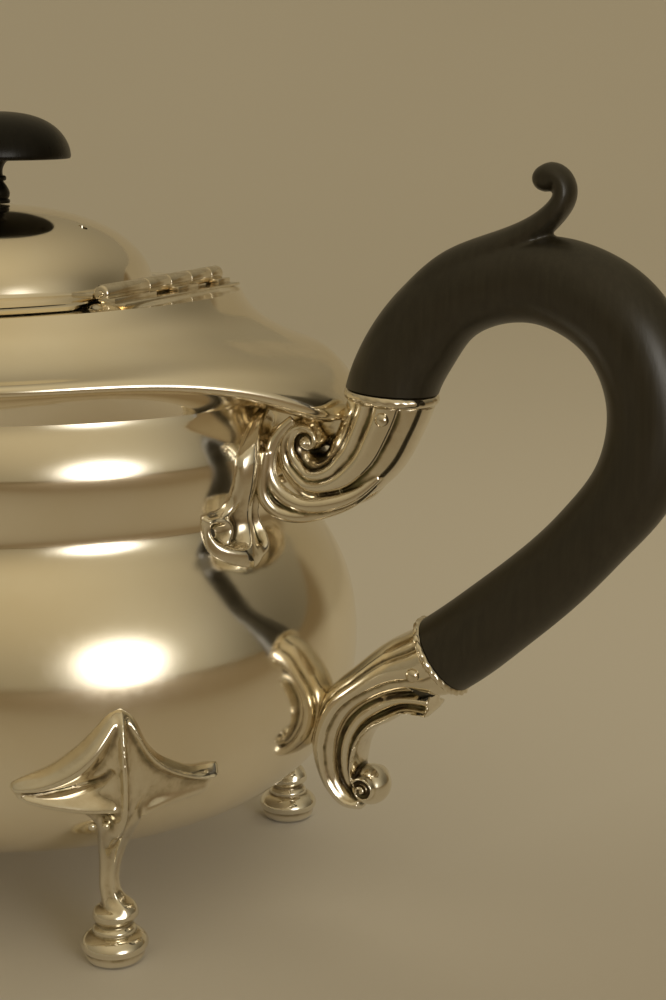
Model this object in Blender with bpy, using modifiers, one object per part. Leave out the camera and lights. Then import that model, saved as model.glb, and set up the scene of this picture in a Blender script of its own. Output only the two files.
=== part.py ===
"""Silver teapot with a hinged domed lid, an ebonised wood handle and finial,
and four cast feet.  Blender 4.5 script, metres, +Z up, +X towards the handle.

The local frame used by the functions below is in millimetres: its origin is
where the pot's own upright axis meets the table.  Every object hangs under the
empty 'teapot_frame', which shifts that axis so that the whole object's
bounding box is centred on the world origin in X.
"""
import bpy
import bmesh
import math
import numpy as np
from mathutils import Vector, Matrix

for ob in list(bpy.data.objects):
    bpy.data.objects.remove(ob, do_unlink=True)

# ---------------------------------------------------------------- dimensions
MM = 0.001
AXIS_SHIFT = -9.93       # world X of the pot's upright axis
GAP = 0.3                 # clearance kept between neighbouring pieces

# body: oval plan, half-length A(z) along X, half-width A(z) / OVAL along Y
OVAL = 1.12
BODY_BOTTOM = 15.0
BODY_TOP = 99.6
BODY_MAX = 72.9
BODY_WALL = 1.0
BODY_PROFILE = [          # (half-length, height), rim to foot
    (60.5, 99.6), (63.4, 95.5), (64.0, 90.0), (62.7, 83.0), (63.2, 76.6),
    (66.8, 70.0), (70.6, 62.5), (72.7, 53.5), (72.6, 43.5), (70.0, 34.0),
    (64.2, 25.6), (54.5, 19.2), (40.0, 15.9), (22.0, 15.0), (0.0, 15.0)]

# shoulder collar: shaped ogee ledge from the lid seat to a rolled edge; the
# edge, against the angle from the long axis, is drawn out to a tongue at each
# end, where it also dips
EDGE_DEG = (0.0, 12.0, 24.0, 38.0, 55.0, 72.0, 90.0)
EDGE_R = (76.2, 70.9, 65.2, 61.6, 60.6, 59.6, 58.8)
EDGE_Z = (95.9, 101.0, 104.0, 104.9, 104.8, 104.6, 104.5)
SEAT_A, SEAT_B = 49.0, 46.8            # plan half-axes of the seat's outer line
MOUTH_R = 42.5                         # mouth radius
MOUTH_CHORD = 35.6                     # mouth cut straight here for the hinge
COLLAR_WALL = 0.9

# lid
LID_R = 45.0
LID_CHORD = 35.35
CREASE_A, CREASE_B, CREASE_Z = 30.5, 32.5, 119.2
DOME_TOP = 134.1
LID_WALL = 0.9
STUD_HOLE_R = 1.8
VENT_X, VENT_R = 20.5, 0.8
BEZEL_R, BEZEL_CHORD, BEZEL_WALL, BEZEL_LOW = 41.9, 34.9, 0.8, 113.6

# hinge
HINGE_X, HINGE_Z = 37.6, 120.1
HINGE_HALF = 22.7
KNUCKLE_R, KNUCKLE_BORE, PIN_R = 1.55, 0.9, 0.6
KNUCKLES = [(-22.7, -7.3, 'body'), (-7.3, 0.9, 'lid'), (0.9, 9.2, 'body'),
            (9.2, 17.5, 'lid'), (17.5, 22.7, 'body')]

# finial
KNOB_R, KNOB_LOW, KNOB_TOP = 15.6, 142.9, 152.0

# handle: centre line in the XZ plane as (X, Z, radius)
GRIP = [(84.4, 100.8, 7.6), (85.7, 105.5, 7.6), (89.2, 112.6, 7.5),
        (94.6, 118.4, 7.4), (101.3, 121.7, 7.3), (108.0, 123.3, 7.3),
        (114.2, 123.7, 7.4), (120.8, 122.2, 7.6), (126.8, 117.6, 7.6),
        (131.4, 110.6, 7.5), (133.6, 102.0, 7.4), (132.7, 94.1, 7.4),
        (129.5, 87.1, 7.4), (123.9, 80.5, 7.3), (115.3, 71.0, 7.5),
        (106.2, 62.1, 7.7), (98.6, 55.7, 7.6), (94.2, 52.8, 7.5)]
THUMB = [(91.0, 119.5, 4.2), (96.5, 124.6, 3.6), (101.5, 127.4, 3.1),
         (106.8, 129.8, 2.9), (111.3, 132.3, 2.7), (115.0, 135.2, 2.4),
         (116.9, 138.6, 2.1), (115.9, 141.3, 2.1), (113.3, 141.6, 2.4),
         (112.4, 140.6, 2.2)]
TENON_R, TENON_LEN = 5.5, 7.5
UP_AXIS = (0.26, 0.966)                # direction of the grip at its upper end
UP_END = (84.9, 102.6)
LOW_AXIS = (-0.82, -0.572)            # direction into the lower socket
LOW_END = (95.9, 53.9)
UP_RIVET = (85.9, 98.2)                # upper pin, a little outside the tenon's axis
FERRULE_T = 2.2
LOWER_FERRULE_T = 1.7
RIVET_R = 1.1

# upper socket: fluted horn ending in a volute against the body
UP_HORN = [(84.2, 99.6, 7.4), (83.2, 95.4, 7.2), (80.6, 90.8, 6.8),
           (76.6, 87.4, 6.4), (71.6, 86.0, 6.0), (66.5, 86.6, 5.2),
           (62.5, 88.0, 4.2)]
VOLUTE_X, VOLUTE_Z, VOLUTE_R, VOLUTE_W = 69.9, 89.9, 6.3, 15.0
# lower socket: horn to the body and a tail scroll with a ball end
LOW_HORN = [(93.0, 52.1, 6.9), (88.6, 49.2, 6.7), (84.0, 45.6, 6.1),
            (79.4, 42.6, 6.0), (74.5, 41.2, 6.2), (70.0, 41.0, 6.4)]
LOW_TAIL = [(77.5, 43.5, 5.0), (75.6, 37.5, 4.9), (74.6, 31.6, 4.7),
            (75.4, 27.2, 4.3), (77.8, 24.8, 4.2), (81.4, 25.6, 4.5)]
LOW_LEAF = [(84.0, 43.2, 3.0), (88.6, 44.2, 2.4), (92.9, 44.0, 1.5)]

# feet
FOOT_X, FOOT_Y = 45.8, 37.4
PAD_R, ANKLE_R, LEG_R = 6.2, 4.1, 1.85

# spout centre line in the XZ plane as (X, Z, half-width Y, half-height)
SPOUT = [(-60.0, 45.5, 14.0, 18.5), (-69.0, 47.0, 13.0, 17.0),
         (-76.5, 49.6, 11.4, 14.4), (-83.0, 54.0, 9.9, 11.8),
         (-88.2, 60.4, 8.9, 9.9), (-91.6, 68.2, 8.1, 8.8),
         (-93.8, 77.0, 7.5, 8.0), (-95.8, 86.0, 7.0, 7.4),
         (-98.6, 95.0, 6.5, 6.9), (-102.8, 103.2, 6.1, 6.5),
         (-108.4, 110.2, 5.8, 6.3), (-114.2, 115.6, 5.6, 6.3)]
SPOUT_WALL = 0.9

# ---------------------------------------------------------------- collections
parts = bpy.data.collections.new("silver_teapot")
cutters = bpy.data.collections.new("cutters")
bpy.context.scene.collection.children.link(parts)
bpy.context.scene.collection.children.link(cutters)

frame = bpy.data.objects.new("teapot_frame", None)
frame.location = (AXIS_SHIFT * MM, 0.0, 0.0)
parts.objects.link(frame)
lid_axis = bpy.data.objects.new("lid_hinge_axis", None)
lid_axis.parent = frame
lid_axis.location = (HINGE_X * MM, 0.0, HINGE_Z * MM)
parts.objects.link(lid_axis)


def material(name, colour, rough, metal):
    m = bpy.data.materials.new(name)
    m.use_nodes = True
    p = m.node_tree.nodes["Principled BSDF"]
    p.inputs["Base Color"].default_value = (*colour, 1.0)
    p.inputs["Roughness"].default_value = rough
    p.inputs["Metallic"].default_value = metal
    return m


SILVER = (0.86, 0.84, 0.79)
CAST = (0.80, 0.77, 0.70)
EBONY = (0.035, 0.028, 0.024)


def finish(ob, colour, rough, metal, lid=False, coll=None):
    """Link an object whose mesh is in local millimetre-derived metres."""
    ob.data.materials.clear()
    ob.data.materials.append(material(ob.name + "_material", colour, rough, metal))
    (coll or parts).objects.link(ob)
    if lid:
        ob.parent = lid_axis
        ob.matrix_parent_inverse = Matrix.Translation(
            (-HINGE_X * MM, 0.0, -HINGE_Z * MM))
    else:
        ob.parent = frame
    return ob


def cutter(ob):
    cutters.objects.link(ob)
    ob.parent = frame
    ob.hide_render = True
    ob.display_type = 'WIRE'
    return ob


def smooth(me, angle=35.0):
    me.shade_smooth()
    me.set_sharp_from_angle(angle=math.radians(angle))


def mesh_object(name, bm):
    me = bpy.data.meshes.new(name)
    bm.to_mesh(me)
    bm.free()
    smooth(me)
    return bpy.data.objects.new(name, me)


def boolean(ob, other, op, solver='EXACT'):
    m = ob.modifiers.new(op.lower() + "_" + other.name, 'BOOLEAN')
    m.operation = op
    m.solver = solver
    m.object = other
    return m


def turned(name, profile, steps, scale_y=1.0):
    """Turned shape: the (radius, height) profile, given top to bottom down its
    outer side, swept once round +Z by a Screw modifier."""
    me = bpy.data.meshes.new(name)
    closed = profile[0][0] > 1e-6 or profile[-1][0] > 1e-6
    vs = [(r * MM, 0.0, z * MM) for r, z in profile]
    n = len(vs)
    es = [(i, i + 1) for i in range(n - 1)]
    if closed:
        es.append((n - 1, 0))
    me.from_pydata(vs, es, [])
    ob = bpy.data.objects.new(name, me)
    m = ob.modifiers.new("turn", 'SCREW')
    m.axis = 'Z'
    m.angle = 2 * math.pi
    m.steps = m.render_steps = steps
    m.use_merge_vertices = True
    m.merge_threshold = 0.00001
    m.use_normal_calculate = False
    m.use_smooth_shade = True
    ob.scale = (1.0, scale_y, 1.0)
    return ob


def ring_surface(name, rings, close_u=True, wall=None, outward=1.0):
    """Open surface through a list of equal-length closed rings, given a wall
    by Solidify on its inner side."""
    bm = bmesh.new()
    rows = [[bm.verts.new([c * MM for c in p]) for p in ring] for ring in rings]
    n = len(rings[0])
    for a, b in zip(rows[:-1], rows[1:]):
        for i in range(n):
            j = (i + 1) % n
            bm.faces.new((a[i], b[i], b[j], a[j]))
    bmesh.ops.recalc_face_normals(bm, faces=bm.faces)
    ob = mesh_object(name, bm)
    if wall:
        m = ob.modifiers.new("wall", 'SOLIDIFY')
        m.thickness = wall * MM
        m.offset = -1.0 * outward
        m.use_even_offset = True
        m.use_quality_normals = True
    return ob


def spline(points, count):
    """Smooth (Catmull-Rom) samples through control points of any dimension."""
    p = np.array(points, float)
    p = np.vstack([2 * p[0] - p[1], p, 2 * p[-1] - p[-2]])
    segs = len(p) - 3
    out = []
    for k in range(count + 1):
        u = k / count * segs
        i = min(int(u), segs - 1)
        t = u - i
        a, b, c, d = p[i], p[i + 1], p[i + 2], p[i + 3]
        out.append(0.5 * ((2 * b) + (c - a) * t + (2 * a - 5 * b + 4 * c - d) * t * t
                          + (3 * b - a - 3 * c + d) * t ** 3))
    return out


def swept(name, pts, count, res=3):
    """Round bar of changing radius along points (x, y, z, radius): a curve with
    a bevel and filled caps, made a mesh so that it can be cut and joined."""
    cu = bpy.data.curves.new(name, 'CURVE')
    cu.dimensions = '3D'
    cu.bevel_depth = 1.0 * MM
    cu.bevel_resolution = res
    cu.use_fill_caps = True
    sp = cu.splines.new('POLY')
    samples = spline(pts, count)
    sp.points.add(len(samples) - 1)
    for q, s in zip(sp.points, samples):
        q.co = (s[0] * MM, s[1] * MM, s[2] * MM, 1.0)
        q.radius = s[3]
    tmp = bpy.data.objects.new(name + "_curve", cu)
    bpy.context.scene.collection.objects.link(tmp)
    deps = bpy.context.evaluated_depsgraph_get()
    me = bpy.data.meshes.new_from_object(tmp.evaluated_get(deps))
    bpy.data.objects.remove(tmp)
    bm = bmesh.new()
    bm.from_mesh(me)
    bmesh.ops.remove_doubles(bm, verts=bm.verts, dist=0.00002)
    bmesh.ops.recalc_face_normals(bm, faces=bm.faces)
    return mesh_object(name, bm)


def cylinder(name, r, length, centre, axis, segs=16, r2=None):
    """Cylinder (or cone) of given length centred at a point along an axis."""
    bm = bmesh.new()
    bmesh.ops.create_cone(bm, cap_ends=True, segments=segs, radius1=r * MM,
                          radius2=(r if r2 is None else r2) * MM, depth=length * MM)
    q = Vector((0, 0, 1)).rotation_difference(Vector(axis).normalized())
    bmesh.ops.transform(bm, verts=bm.verts,
                        matrix=Matrix.Translation([c * MM for c in centre])
                        @ q.to_matrix().to_4x4())
    return mesh_object(name, bm)


def box(name, lo, hi):
    bm = bmesh.new()
    bmesh.ops.create_cube(bm, size=1.0)
    for v in bm.verts:
        v.co = Vector([(lo[i] + (v.co[i] + 0.5) * (hi[i] - lo[i])) * MM
                       for i in range(3)])
    return mesh_object(name, bm)


# ------------------------------------------------------------------ the body
def body_a(z):
    """Half-length of the body's outside at a height."""
    pr = sorted([(h, a) for a, h in BODY_PROFILE])
    hs = [h for h, a in pr]
    av = [a for h, a in pr]
    return float(np.interp(z, hs, av))


def offset_profile(profile, d):
    """Profile moved along its own normals by d (outwards when positive)."""
    p = np.array(profile, float)
    t = np.gradient(p, axis=0)
    n = np.stack([-t[:, 1], t[:, 0]], 1)
    n /= np.linalg.norm(n, axis=1)[:, None]
    q = p + n * d
    q[-1, 0] = 0.0
    return [(max(a, 0.0), b) for a, b in q]


inner = offset_profile(BODY_PROFILE, -BODY_WALL)
inner[0] = (BODY_PROFILE[0][0] - BODY_WALL, BODY_TOP)
body = turned("body_shell", BODY_PROFILE + inner[::-1], 36, 1.0 / OVAL)

# the body's outside plus the clearance, to trim whatever stands on it
env_profile = offset_profile(BODY_PROFILE, GAP)
env_profile[0] = (env_profile[0][0], BODY_TOP + 0.2)
envelope = turned("body_envelope", [(0.0, BODY_TOP + 0.2)] + env_profile, 36, 1.0 / OVAL)
cutter(envelope)

# strainer holes behind the spout
bm = bmesh.new()
for row in range(-2, 3):
    for col in range(-2, 3):
        y = col * 4.6 + (2.3 if row % 2 else 0.0)
        z = 47.0 + row * 4.2
        if math.hypot(y, z - 47.0) > 9.6:
            continue
        res = bmesh.ops.create_cone(bm, cap_ends=True, segments=6, radius1=1.3 * MM,
                                    radius2=1.3 * MM, depth=14.0 * MM)
        bmesh.ops.transform(bm, verts=res['verts'],
                            matrix=Matrix.Translation((-71.0 * MM, y * MM, z * MM))
                            @ Matrix.Rotation(math.pi / 2, 4, 'Y'))
strainer = cutter(mesh_object("strainer_holes", bm))
boolean(body, strainer, 'DIFFERENCE')
finish(body, SILVER, 0.08, 1.0)


# ---------------------------------------------------------------- the collar
def seat_z(t):
    return 116.1 + 1.7 * abs(math.cos(t)) ** 1.3


def folded(t):
    """Angle from the nearer end of the long axis, in degrees."""
    return math.degrees(math.acos(min(1.0, abs(math.cos(t)))))


def edge_value(table, t):
    """Smooth value along the rolled edge, mirrored about both axes."""
    ang = [-EDGE_DEG[1], *EDGE_DEG, 180.0 - EDGE_DEG[-2]]
    val = [table[1], *table, table[-2]]
    d = folded(t)
    k = max(i for i in range(1, len(EDGE_DEG)) if ang[i] <= d + 1e-9)
    u = (d - ang[k]) / (ang[k + 1] - ang[k])

    def slope(i):
        return (val[i + 1] - val[i - 1]) / (ang[i + 1] - ang[i - 1])
    h = ang[k + 1] - ang[k]
    m0 = slope(k)
    m1 = slope(k + 1) if k + 2 < len(ang) else 0.0
    return ((2 * u ** 3 - 3 * u * u + 1) * val[k] + (u ** 3 - 2 * u * u + u) * h * m0
            + (3 * u * u - 2 * u ** 3) * val[k + 1] + (u ** 3 - u * u) * h * m1)


def edge_r(t):
    return edge_value(EDGE_R, t)


def edge_z(t):
    return edge_value(EDGE_Z, t)


def clipped(r, t, chord):
    return (min(r * math.cos(t), chord), r * math.sin(t))


COLLAR_N = 40
OGEE_SIDE = [(0.0, 0.0), (0.14, 0.27), (0.38, 0.54), (0.66, 0.74),
             (0.88, 0.82), (1.0, 0.87), (0.965, 1.0)]
OGEE_END = [(0.0, 0.0), (0.14, 0.26), (0.38, 0.39), (0.68, 0.49),
            (0.92, 0.60), (1.0, 0.83), (0.965, 1.0)]
rings = []


def collar_ring(fn):
    rings.append([fn(2 * math.pi * (i + 0.5) / COLLAR_N) for i in range(COLLAR_N)])


collar_ring(lambda t: (*clipped(MOUTH_R, t, MOUTH_CHORD), seat_z(t)))
for (gs, hs), (ge, he) in zip(OGEE_SIDE, OGEE_END):
    def ogee(t, gs=gs, hs=hs, ge=ge, he=he):
        w = math.exp(-(folded(t) / 26.0) ** 2)
        g, h = gs + (ge - gs) * w, hs + (he - hs) * w
        c, s = math.cos(t), math.sin(t)
        r = edge_r(t)
        return ((SEAT_A + (r - SEAT_A) * g) * c, (SEAT_B + (r - SEAT_B) * g) * s,
                seat_z(t) + (edge_z(t) - seat_z(t)) * h)
    collar_ring(ogee)
for v, hz in ((0.55, 0.25), (1.0, 1.0)):
    def under(t, v=v, hz=hz):
        c, s = math.cos(t), math.sin(t)
        r = edge_r(t)
        ax, by = r - 0.035 * (r - SEAT_A), r - 0.035 * (r - SEAT_B)
        a1, b1 = BODY_PROFILE[0][0], BODY_PROFILE[0][0] / OVAL
        z = edge_z(t) + (BODY_TOP + GAP - edge_z(t)) * hz
        return ((ax + (a1 - ax) * v) * c, (by + (b1 - by) * v) * s, z)
    collar_ring(under)
collar = ring_surface("shoulder_collar", rings, wall=COLLAR_WALL)
finish(collar, SILVER, 0.08, 1.0)


# ------------------------------------------------------------------- the lid
DOME = [(0.0, 1.0), (0.20, 0.98), (0.40, 0.915), (0.58, 0.81),
        (0.76, 0.64), (0.90, 0.405), (0.97, 0.20), (1.0, 0.0)]
LID_N = 36
rings = []


def lid_ring(fn):
    rings.append([fn(2 * math.pi * (i + 0.5) / LID_N) for i in range(LID_N)])


lid_ring(lambda t: (STUD_HOLE_R * math.cos(t), STUD_HOLE_R * math.sin(t), DOME_TOP))
for g, h in DOME[1:]:
    lid_ring(lambda t, g=g, h=h: (CREASE_A * g * math.cos(t), CREASE_B * g * math.sin(t),
                                  CREASE_Z + (DOME_TOP - CREASE_Z) * h))


def flange(t, v):
    ex, ey = clipped(LID_R, t, LID_CHORD)
    cx, cy = CREASE_A * math.cos(t), CREASE_B * math.sin(t)
    return (cx + (ex - cx) * v, cy + (ey - cy) * v,
            CREASE_Z + (seat_z(t) + GAP + LID_WALL - CREASE_Z) * v)


for v in (0.9, 1.0):
    lid_ring(lambda t, v=v: flange(t, v))
lid = ring_surface("lid_dome", rings, wall=LID_WALL)
vent = cutter(cylinder("vent_hole", VENT_R, 10.0, (VENT_X, 0.0, 129.0), (0, 0, 1), 10))
boolean(lid, vent, 'DIFFERENCE')
finish(lid, SILVER, 0.08, 1.0, lid=True)

rings = []
lid_ring(lambda t: (*clipped(BEZEL_R, t, BEZEL_CHORD), seat_z(t) - 0.1))
lid_ring(lambda t: (*clipped(BEZEL_R - 0.3, t, BEZEL_CHORD - 0.3), BEZEL_LOW))
bezel = ring_surface("lid_bezel", rings, wall=BEZEL_WALL)
finish(bezel, SILVER, 0.12, 1.0, lid=True)


# ----------------------------------------------------------------- the hinge
def knuckle(name, y0, y1, r=KNUCKLE_R):
    return cylinder(name, r, y1 - y0, (HINGE_X, (y0 + y1) / 2, HINGE_Z), (0, 1, 0), 16)


def hinge_leaf(name, side):
    """Leaf plate with its knuckles joined on and the pin bored through."""
    if side == 'body':
        ob = box(name, (HINGE_X + 1.95, -HINGE_HALF, seat_z(0) + GAP),
                 (HINGE_X + 5.0, HINGE_HALF, seat_z(0) + GAP + 0.7))
    else:
        ob = box(name, (LID_CHORD - 3.9, -HINGE_HALF + 0.6, 119.45),
                 (LID_CHORD + 0.3, HINGE_HALF - 0.6, 120.05))
    for k, (y0, y1, owner) in enumerate(KNUCKLES):
        if owner != side:
            continue
        a = y0 + (GAP / 2 if y0 > -HINGE_HALF else 0.0)
        b = y1 - (GAP / 2 if y1 < HINGE_HALF else 0.0)
        boolean(ob, cutter(knuckle(f"{side}_knuckle_{k}", a, b)), 'UNION')
        if side == 'body':
            tongue = box(f"{side}_tongue_{k}", (HINGE_X - 0.2, a + 0.05, seat_z(0) + GAP),
                         (HINGE_X + 2.6, b - 0.05, 119.3))
        else:
            tongue = box(f"{side}_tongue_{k}", (LID_CHORD - 0.6, a + 0.05, 119.5),
                         (HINGE_X - 0.4, b - 0.05, 120.0))
        boolean(ob, cutter(tongue), 'UNION')
    boolean(ob, pin_bore, 'DIFFERENCE')
    return ob


pin_bore = cutter(cylinder("pin_bore", KNUCKLE_BORE, 60.0, (HINGE_X, 0, HINGE_Z),
                           (0, 1, 0), 12))
finish(hinge_leaf("hinge_body_leaf", 'body'), SILVER, 0.1, 1.0)
finish(hinge_leaf("hinge_lid_leaf", 'lid'), SILVER, 0.1, 1.0, lid=True)
finish(cylinder("hinge_pin", PIN_R, 2 * HINGE_HALF + 0.5, (HINGE_X, 0, HINGE_Z),
                (0, 1, 0), 12), SILVER, 0.15, 1.0)

# ---------------------------------------------------------------- the finial
knob = turned("finial_knob", [
    (0.0, 152.0), (4.0, 151.9), (7.6, 151.4), (10.6, 150.4), (13.0, 148.7),
    (14.7, 146.6), (15.5, 144.4), (15.6, 142.9), (6.0, 143.1),
    (1.7, 143.1), (1.7, 147.6), (0.0, 147.6)], 24)
finish(knob, EBONY, 0.3, 0.0, lid=True)
stem = turned("finial_stem", [
    (2.9, 142.6), (2.3, 141.6), (2.15, 140.2), (2.3, 139.6), (2.7, 139.2), (2.3, 138.7),
    (2.6, 138.0), (3.25, 136.9), (3.4, 136.0), (3.1, 135.2), (3.2, 134.9),
    (3.2, 134.45), (1.7, 134.45), (1.7, 142.6)], 16)
finish(stem, EBONY, 0.3, 0.0, lid=True)
finish(cylinder("finial_stud", 1.35, 18.6, (0, 0, 137.9), (0, 0, 1), 12),
       CAST, 0.25, 1.0, lid=True)
washer = turned("finial_washer", [(4.6, 132.5), (4.6, 131.7), (1.7, 131.7), (1.7, 132.5)], 20)
finish(washer, CAST, 0.25, 1.0, lid=True)
nut = cylinder("finial_nut", 3.4, 2.4, (0, 0, 130.1), (0, 0, 1), 6)
boolean(nut, cutter(cylinder("nut_bore", 1.65, 6.0, (0, 0, 130.1), (0, 0, 1), 12)),
        'DIFFERENCE')
finish(nut, CAST, 0.25, 1.0, lid=True)


# ---------------------------------------------------------------- the handle
def flat(points):
    return [(x, 0.0, z, r) for x, z, r in points]


def along(end, axis, s):
    return (end[0] + axis[0] * s, 0.0, end[1] + axis[1] * s)


up3, low3 = (UP_AXIS[0], 0, UP_AXIS[1]), (LOW_AXIS[0], 0, LOW_AXIS[1])
grip = swept("handle_grip", flat(GRIP), 27, 3)
boolean(grip, cutter(swept("thumb_scroll", flat(THUMB), 16, 2)), 'UNION')


def half_space(name, lo, hi, end, direction):
    """Box whose local +Z points along a direction from a point on the handle."""
    ob = box(name, lo, hi)
    ob.location = [v * MM for v in (end[0], 0.0, end[1])]
    ob.rotation_mode = 'QUATERNION'
    ob.rotation_quaternion = Vector((0, 0, 1)).rotation_difference(Vector(direction))
    return cutter(ob)


boolean(grip, half_space("upper_end_trim", (-12, -12, 0.0), (12, 12, 6.0),
                         UP_END, [-c for c in up3]), 'DIFFERENCE', 'MANIFOLD')
boolean(grip, half_space("lower_end_trim", (-11, -11, 0.0), (11, 11, 6.0),
                         LOW_END, low3), 'DIFFERENCE', 'MANIFOLD')
boolean(grip, cutter(cylinder("upper_tenon", TENON_R, TENON_LEN + 3,
                              along(UP_END, UP_AXIS, -(TENON_LEN - 3) / 2), up3, 16)), 'UNION', 'MANIFOLD')
boolean(grip, cutter(cylinder("lower_tenon", TENON_R, TENON_LEN + 3,
                              along(LOW_END, LOW_AXIS, (TENON_LEN - 3) / 2), low3, 16)), 'UNION', 'MANIFOLD')
up_rivet = (UP_RIVET[0], 0.0, UP_RIVET[1])
low_rivet = along(LOW_END, LOW_AXIS, 4.6)
up_bore = cutter(cylinder("upper_rivet_bore", RIVET_R + GAP, 40, up_rivet, (0, 1, 0), 12))
low_bore = cutter(cylinder("lower_rivet_bore", RIVET_R + GAP, 40, low_rivet, (0, 1, 0), 12))
boolean(grip, up_bore, 'DIFFERENCE', 'MANIFOLD')
boolean(grip, low_bore, 'DIFFERENCE', 'MANIFOLD')
finish(grip, EBONY, 0.35, 0.0)


def ferrule(name, r, t, end, axis, sign):
    """Bead ring round the tenon, between the grip and its socket."""
    h = t / 2 - GAP / 2
    ob = turned(name, [(r - 0.9, h), (r - 0.25, h * 0.8), (r, h * 0.3), (r, -h * 0.3),
                       (r - 0.25, -h * 0.8), (r - 0.9, -h), (TENON_R + GAP, -h),
                       (TENON_R + GAP, h)], 20)
    c = along(end, axis, sign * t / 2)
    ob.location = [v * MM for v in c]
    d = Vector((axis[0], 0, axis[1])) * -sign
    ob.rotation_mode = 'QUATERNION'
    ob.rotation_quaternion = Vector((0, 0, 1)).rotation_difference(d)
    return ob


finish(ferrule("upper_ferrule", 8.3, FERRULE_T, UP_END, UP_AXIS, -1), CAST, 0.2, 1.0)
finish(ferrule("lower_ferrule", 7.8, LOWER_FERRULE_T, LOW_END, LOW_AXIS, 1), CAST, 0.25, 1.0)

up_face = half_space("upper_ferrule_clearance", (-14, -14, -GAP / 2 - FERRULE_T),
                     (14, 14, 14), UP_END, up3)
low_face = half_space("lower_ferrule_clearance", (-14, -14, -GAP / 2 - LOWER_FERRULE_T),
                      (14, 14, 14), LOW_END, [-c for c in low3])

upper = swept("upper_socket", flat(UP_HORN), 14, 2)
boolean(upper, cutter(cylinder("volute", VOLUTE_R, VOLUTE_W, (VOLUTE_X, 0, VOLUTE_Z),
                               (0, 1, 0), 20)), 'UNION')
boolean(upper, envelope, 'DIFFERENCE')
boolean(upper, up_face, 'DIFFERENCE')
boolean(upper, cutter(cylinder("upper_tenon_pocket", TENON_R + GAP, 2 * (TENON_LEN + GAP),
                               UP_END[:1] + (0.0,) + UP_END[1:], up3, 16)), 'DIFFERENCE')
boolean(upper, up_bore, 'DIFFERENCE')
finish(upper, CAST, 0.2, 1.0)

lower = swept("lower_socket", flat(LOW_HORN), 12, 2)
boolean(lower, cutter(swept("tail_scroll", flat(LOW_TAIL), 12, 2)), 'UNION')
boolean(lower, cutter(swept("lower_leaf", flat(LOW_LEAF), 6, 2)), 'UNION')
boolean(lower, envelope, 'DIFFERENCE')
boolean(lower, low_face, 'DIFFERENCE')
boolean(lower, cutter(cylinder("lower_tenon_pocket", TENON_R + GAP, 2 * (TENON_LEN + GAP),
                               LOW_END[:1] + (0.0,) + LOW_END[1:], low3, 16)), 'DIFFERENCE')
boolean(lower, low_bore, 'DIFFERENCE')
finish(lower, CAST, 0.2, 1.0)

finish(cylinder("upper_rivet", RIVET_R, 15.4, up_rivet, (0, 1, 0), 12), SILVER, 0.2, 1.0)
finish(cylinder("lower_rivet", RIVET_R, 13.8, low_rivet, (0, 1, 0), 12), SILVER, 0.2, 1.0)


# --------------------------------------- leaf on the body beside the socket
def on_body(t, z, off=0.0):
    """Point on the body's outside at plan angle t and height z."""
    a = body_a(z) + off
    return (a * math.cos(t), a / OVAL * math.sin(t), z)


LEAF = [(-9.2, 96.2, 1.9), (-11.8, 92.6, 2.4), (-13.2, 86.5, 2.5), (-13.0, 81.5, 2.8),
        (-15.0, 77.6, 4.6), (-17.5, 74.2, 4.0)]
pts = [(*on_body(math.radians(a), z, 0.1), r) for a, z, r in LEAF]
leaf = swept("socket_leaf", pts, 12, 2)
boolean(leaf, envelope, 'DIFFERENCE')
finish(leaf, CAST, 0.2, 1.0)


# ------------------------------------------------------------------ the feet
def foot(name, sx, sy):
    """Cast foot: turned pad and ankle, a slim leg, and a winged knee."""
    ob = turned(name, [
        (0.0, 27.5), (3.4, 27.0), (2.3, 21.5), (LEG_R, 16.5), (2.5, 12.0),
        (3.9, 9.6), (ANKLE_R, 8.4), (3.3, 6.9), (5.6, 5.0),
        (PAD_R, 3.0), (5.4, 1.0), (4.2, 0.0), (0.0, 0.0)], 14)
    ob.location = (sx * FOOT_X * MM, sy * FOOT_Y * MM, 0.0)
    # knee: rows up the body, each row a tent over the body's surface
    rows = []
    az = math.atan2(FOOT_Y * OVAL, FOOT_X)
    table = [(22.5, 2.6, 2.8), (25.5, 3.2, 3.8), (28.5, 4.6, 4.8), (31.0, 9.5, 5.6),
             (34.5, 17.5, 5.8), (37.2, 20.0, 5.2), (39.5, 12.5, 4.6), (42.5, 7.2, 3.6),
             (46.5, 3.8, 2.4), (50.5, 1.6, 1.1)]
    for z, half, ridge in table:
        row = []
        for s in (-1.0, -0.6, -0.25, 0.0, 0.25, 0.6, 1.0):
            a = body_a(z)
            off = 0.9 + (ridge - 0.9) * (1 - abs(s)) ** 1.6
            t = az + s * half / a
            row.append(on_body(t, z, off))
        for s in (1.0, 0.0, -1.0):
            t = az + s * half / body_a(z) * 0.96
            row.append(on_body(t, z + 1.0, -4.0))
        rows.append(row)
    bm = bmesh.new()
    vs = [[bm.verts.new((sx * p[0] * MM, sy * p[1] * MM, p[2] * MM)) for p in row]
          for row in rows]
    n = len(vs[0])
    for a, b in zip(vs[:-1], vs[1:]):
        for i in range(n):
            j = (i + 1) % n
            bm.faces.new((a[i], a[j], b[j], b[i]))
    bm.faces.new(vs[0][::-1])
    bm.faces.new(vs[-1])
    bmesh.ops.recalc_face_normals(bm, faces=bm.faces)
    knee = cutter(mesh_object(name + "_knee", bm))
    boolean(ob, knee, 'UNION', 'MANIFOLD')
    boolean(ob, envelope, 'DIFFERENCE', 'MANIFOLD')
    return finish(ob, CAST, 0.2, 1.0)


for name, sx, sy in (("foot_handle_near", 1, -1), ("foot_handle_far", 1, 1),
                     ("foot_spout_near", -1, -1), ("foot_spout_far", -1, 1)):
    foot(name, sx, sy)

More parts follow.
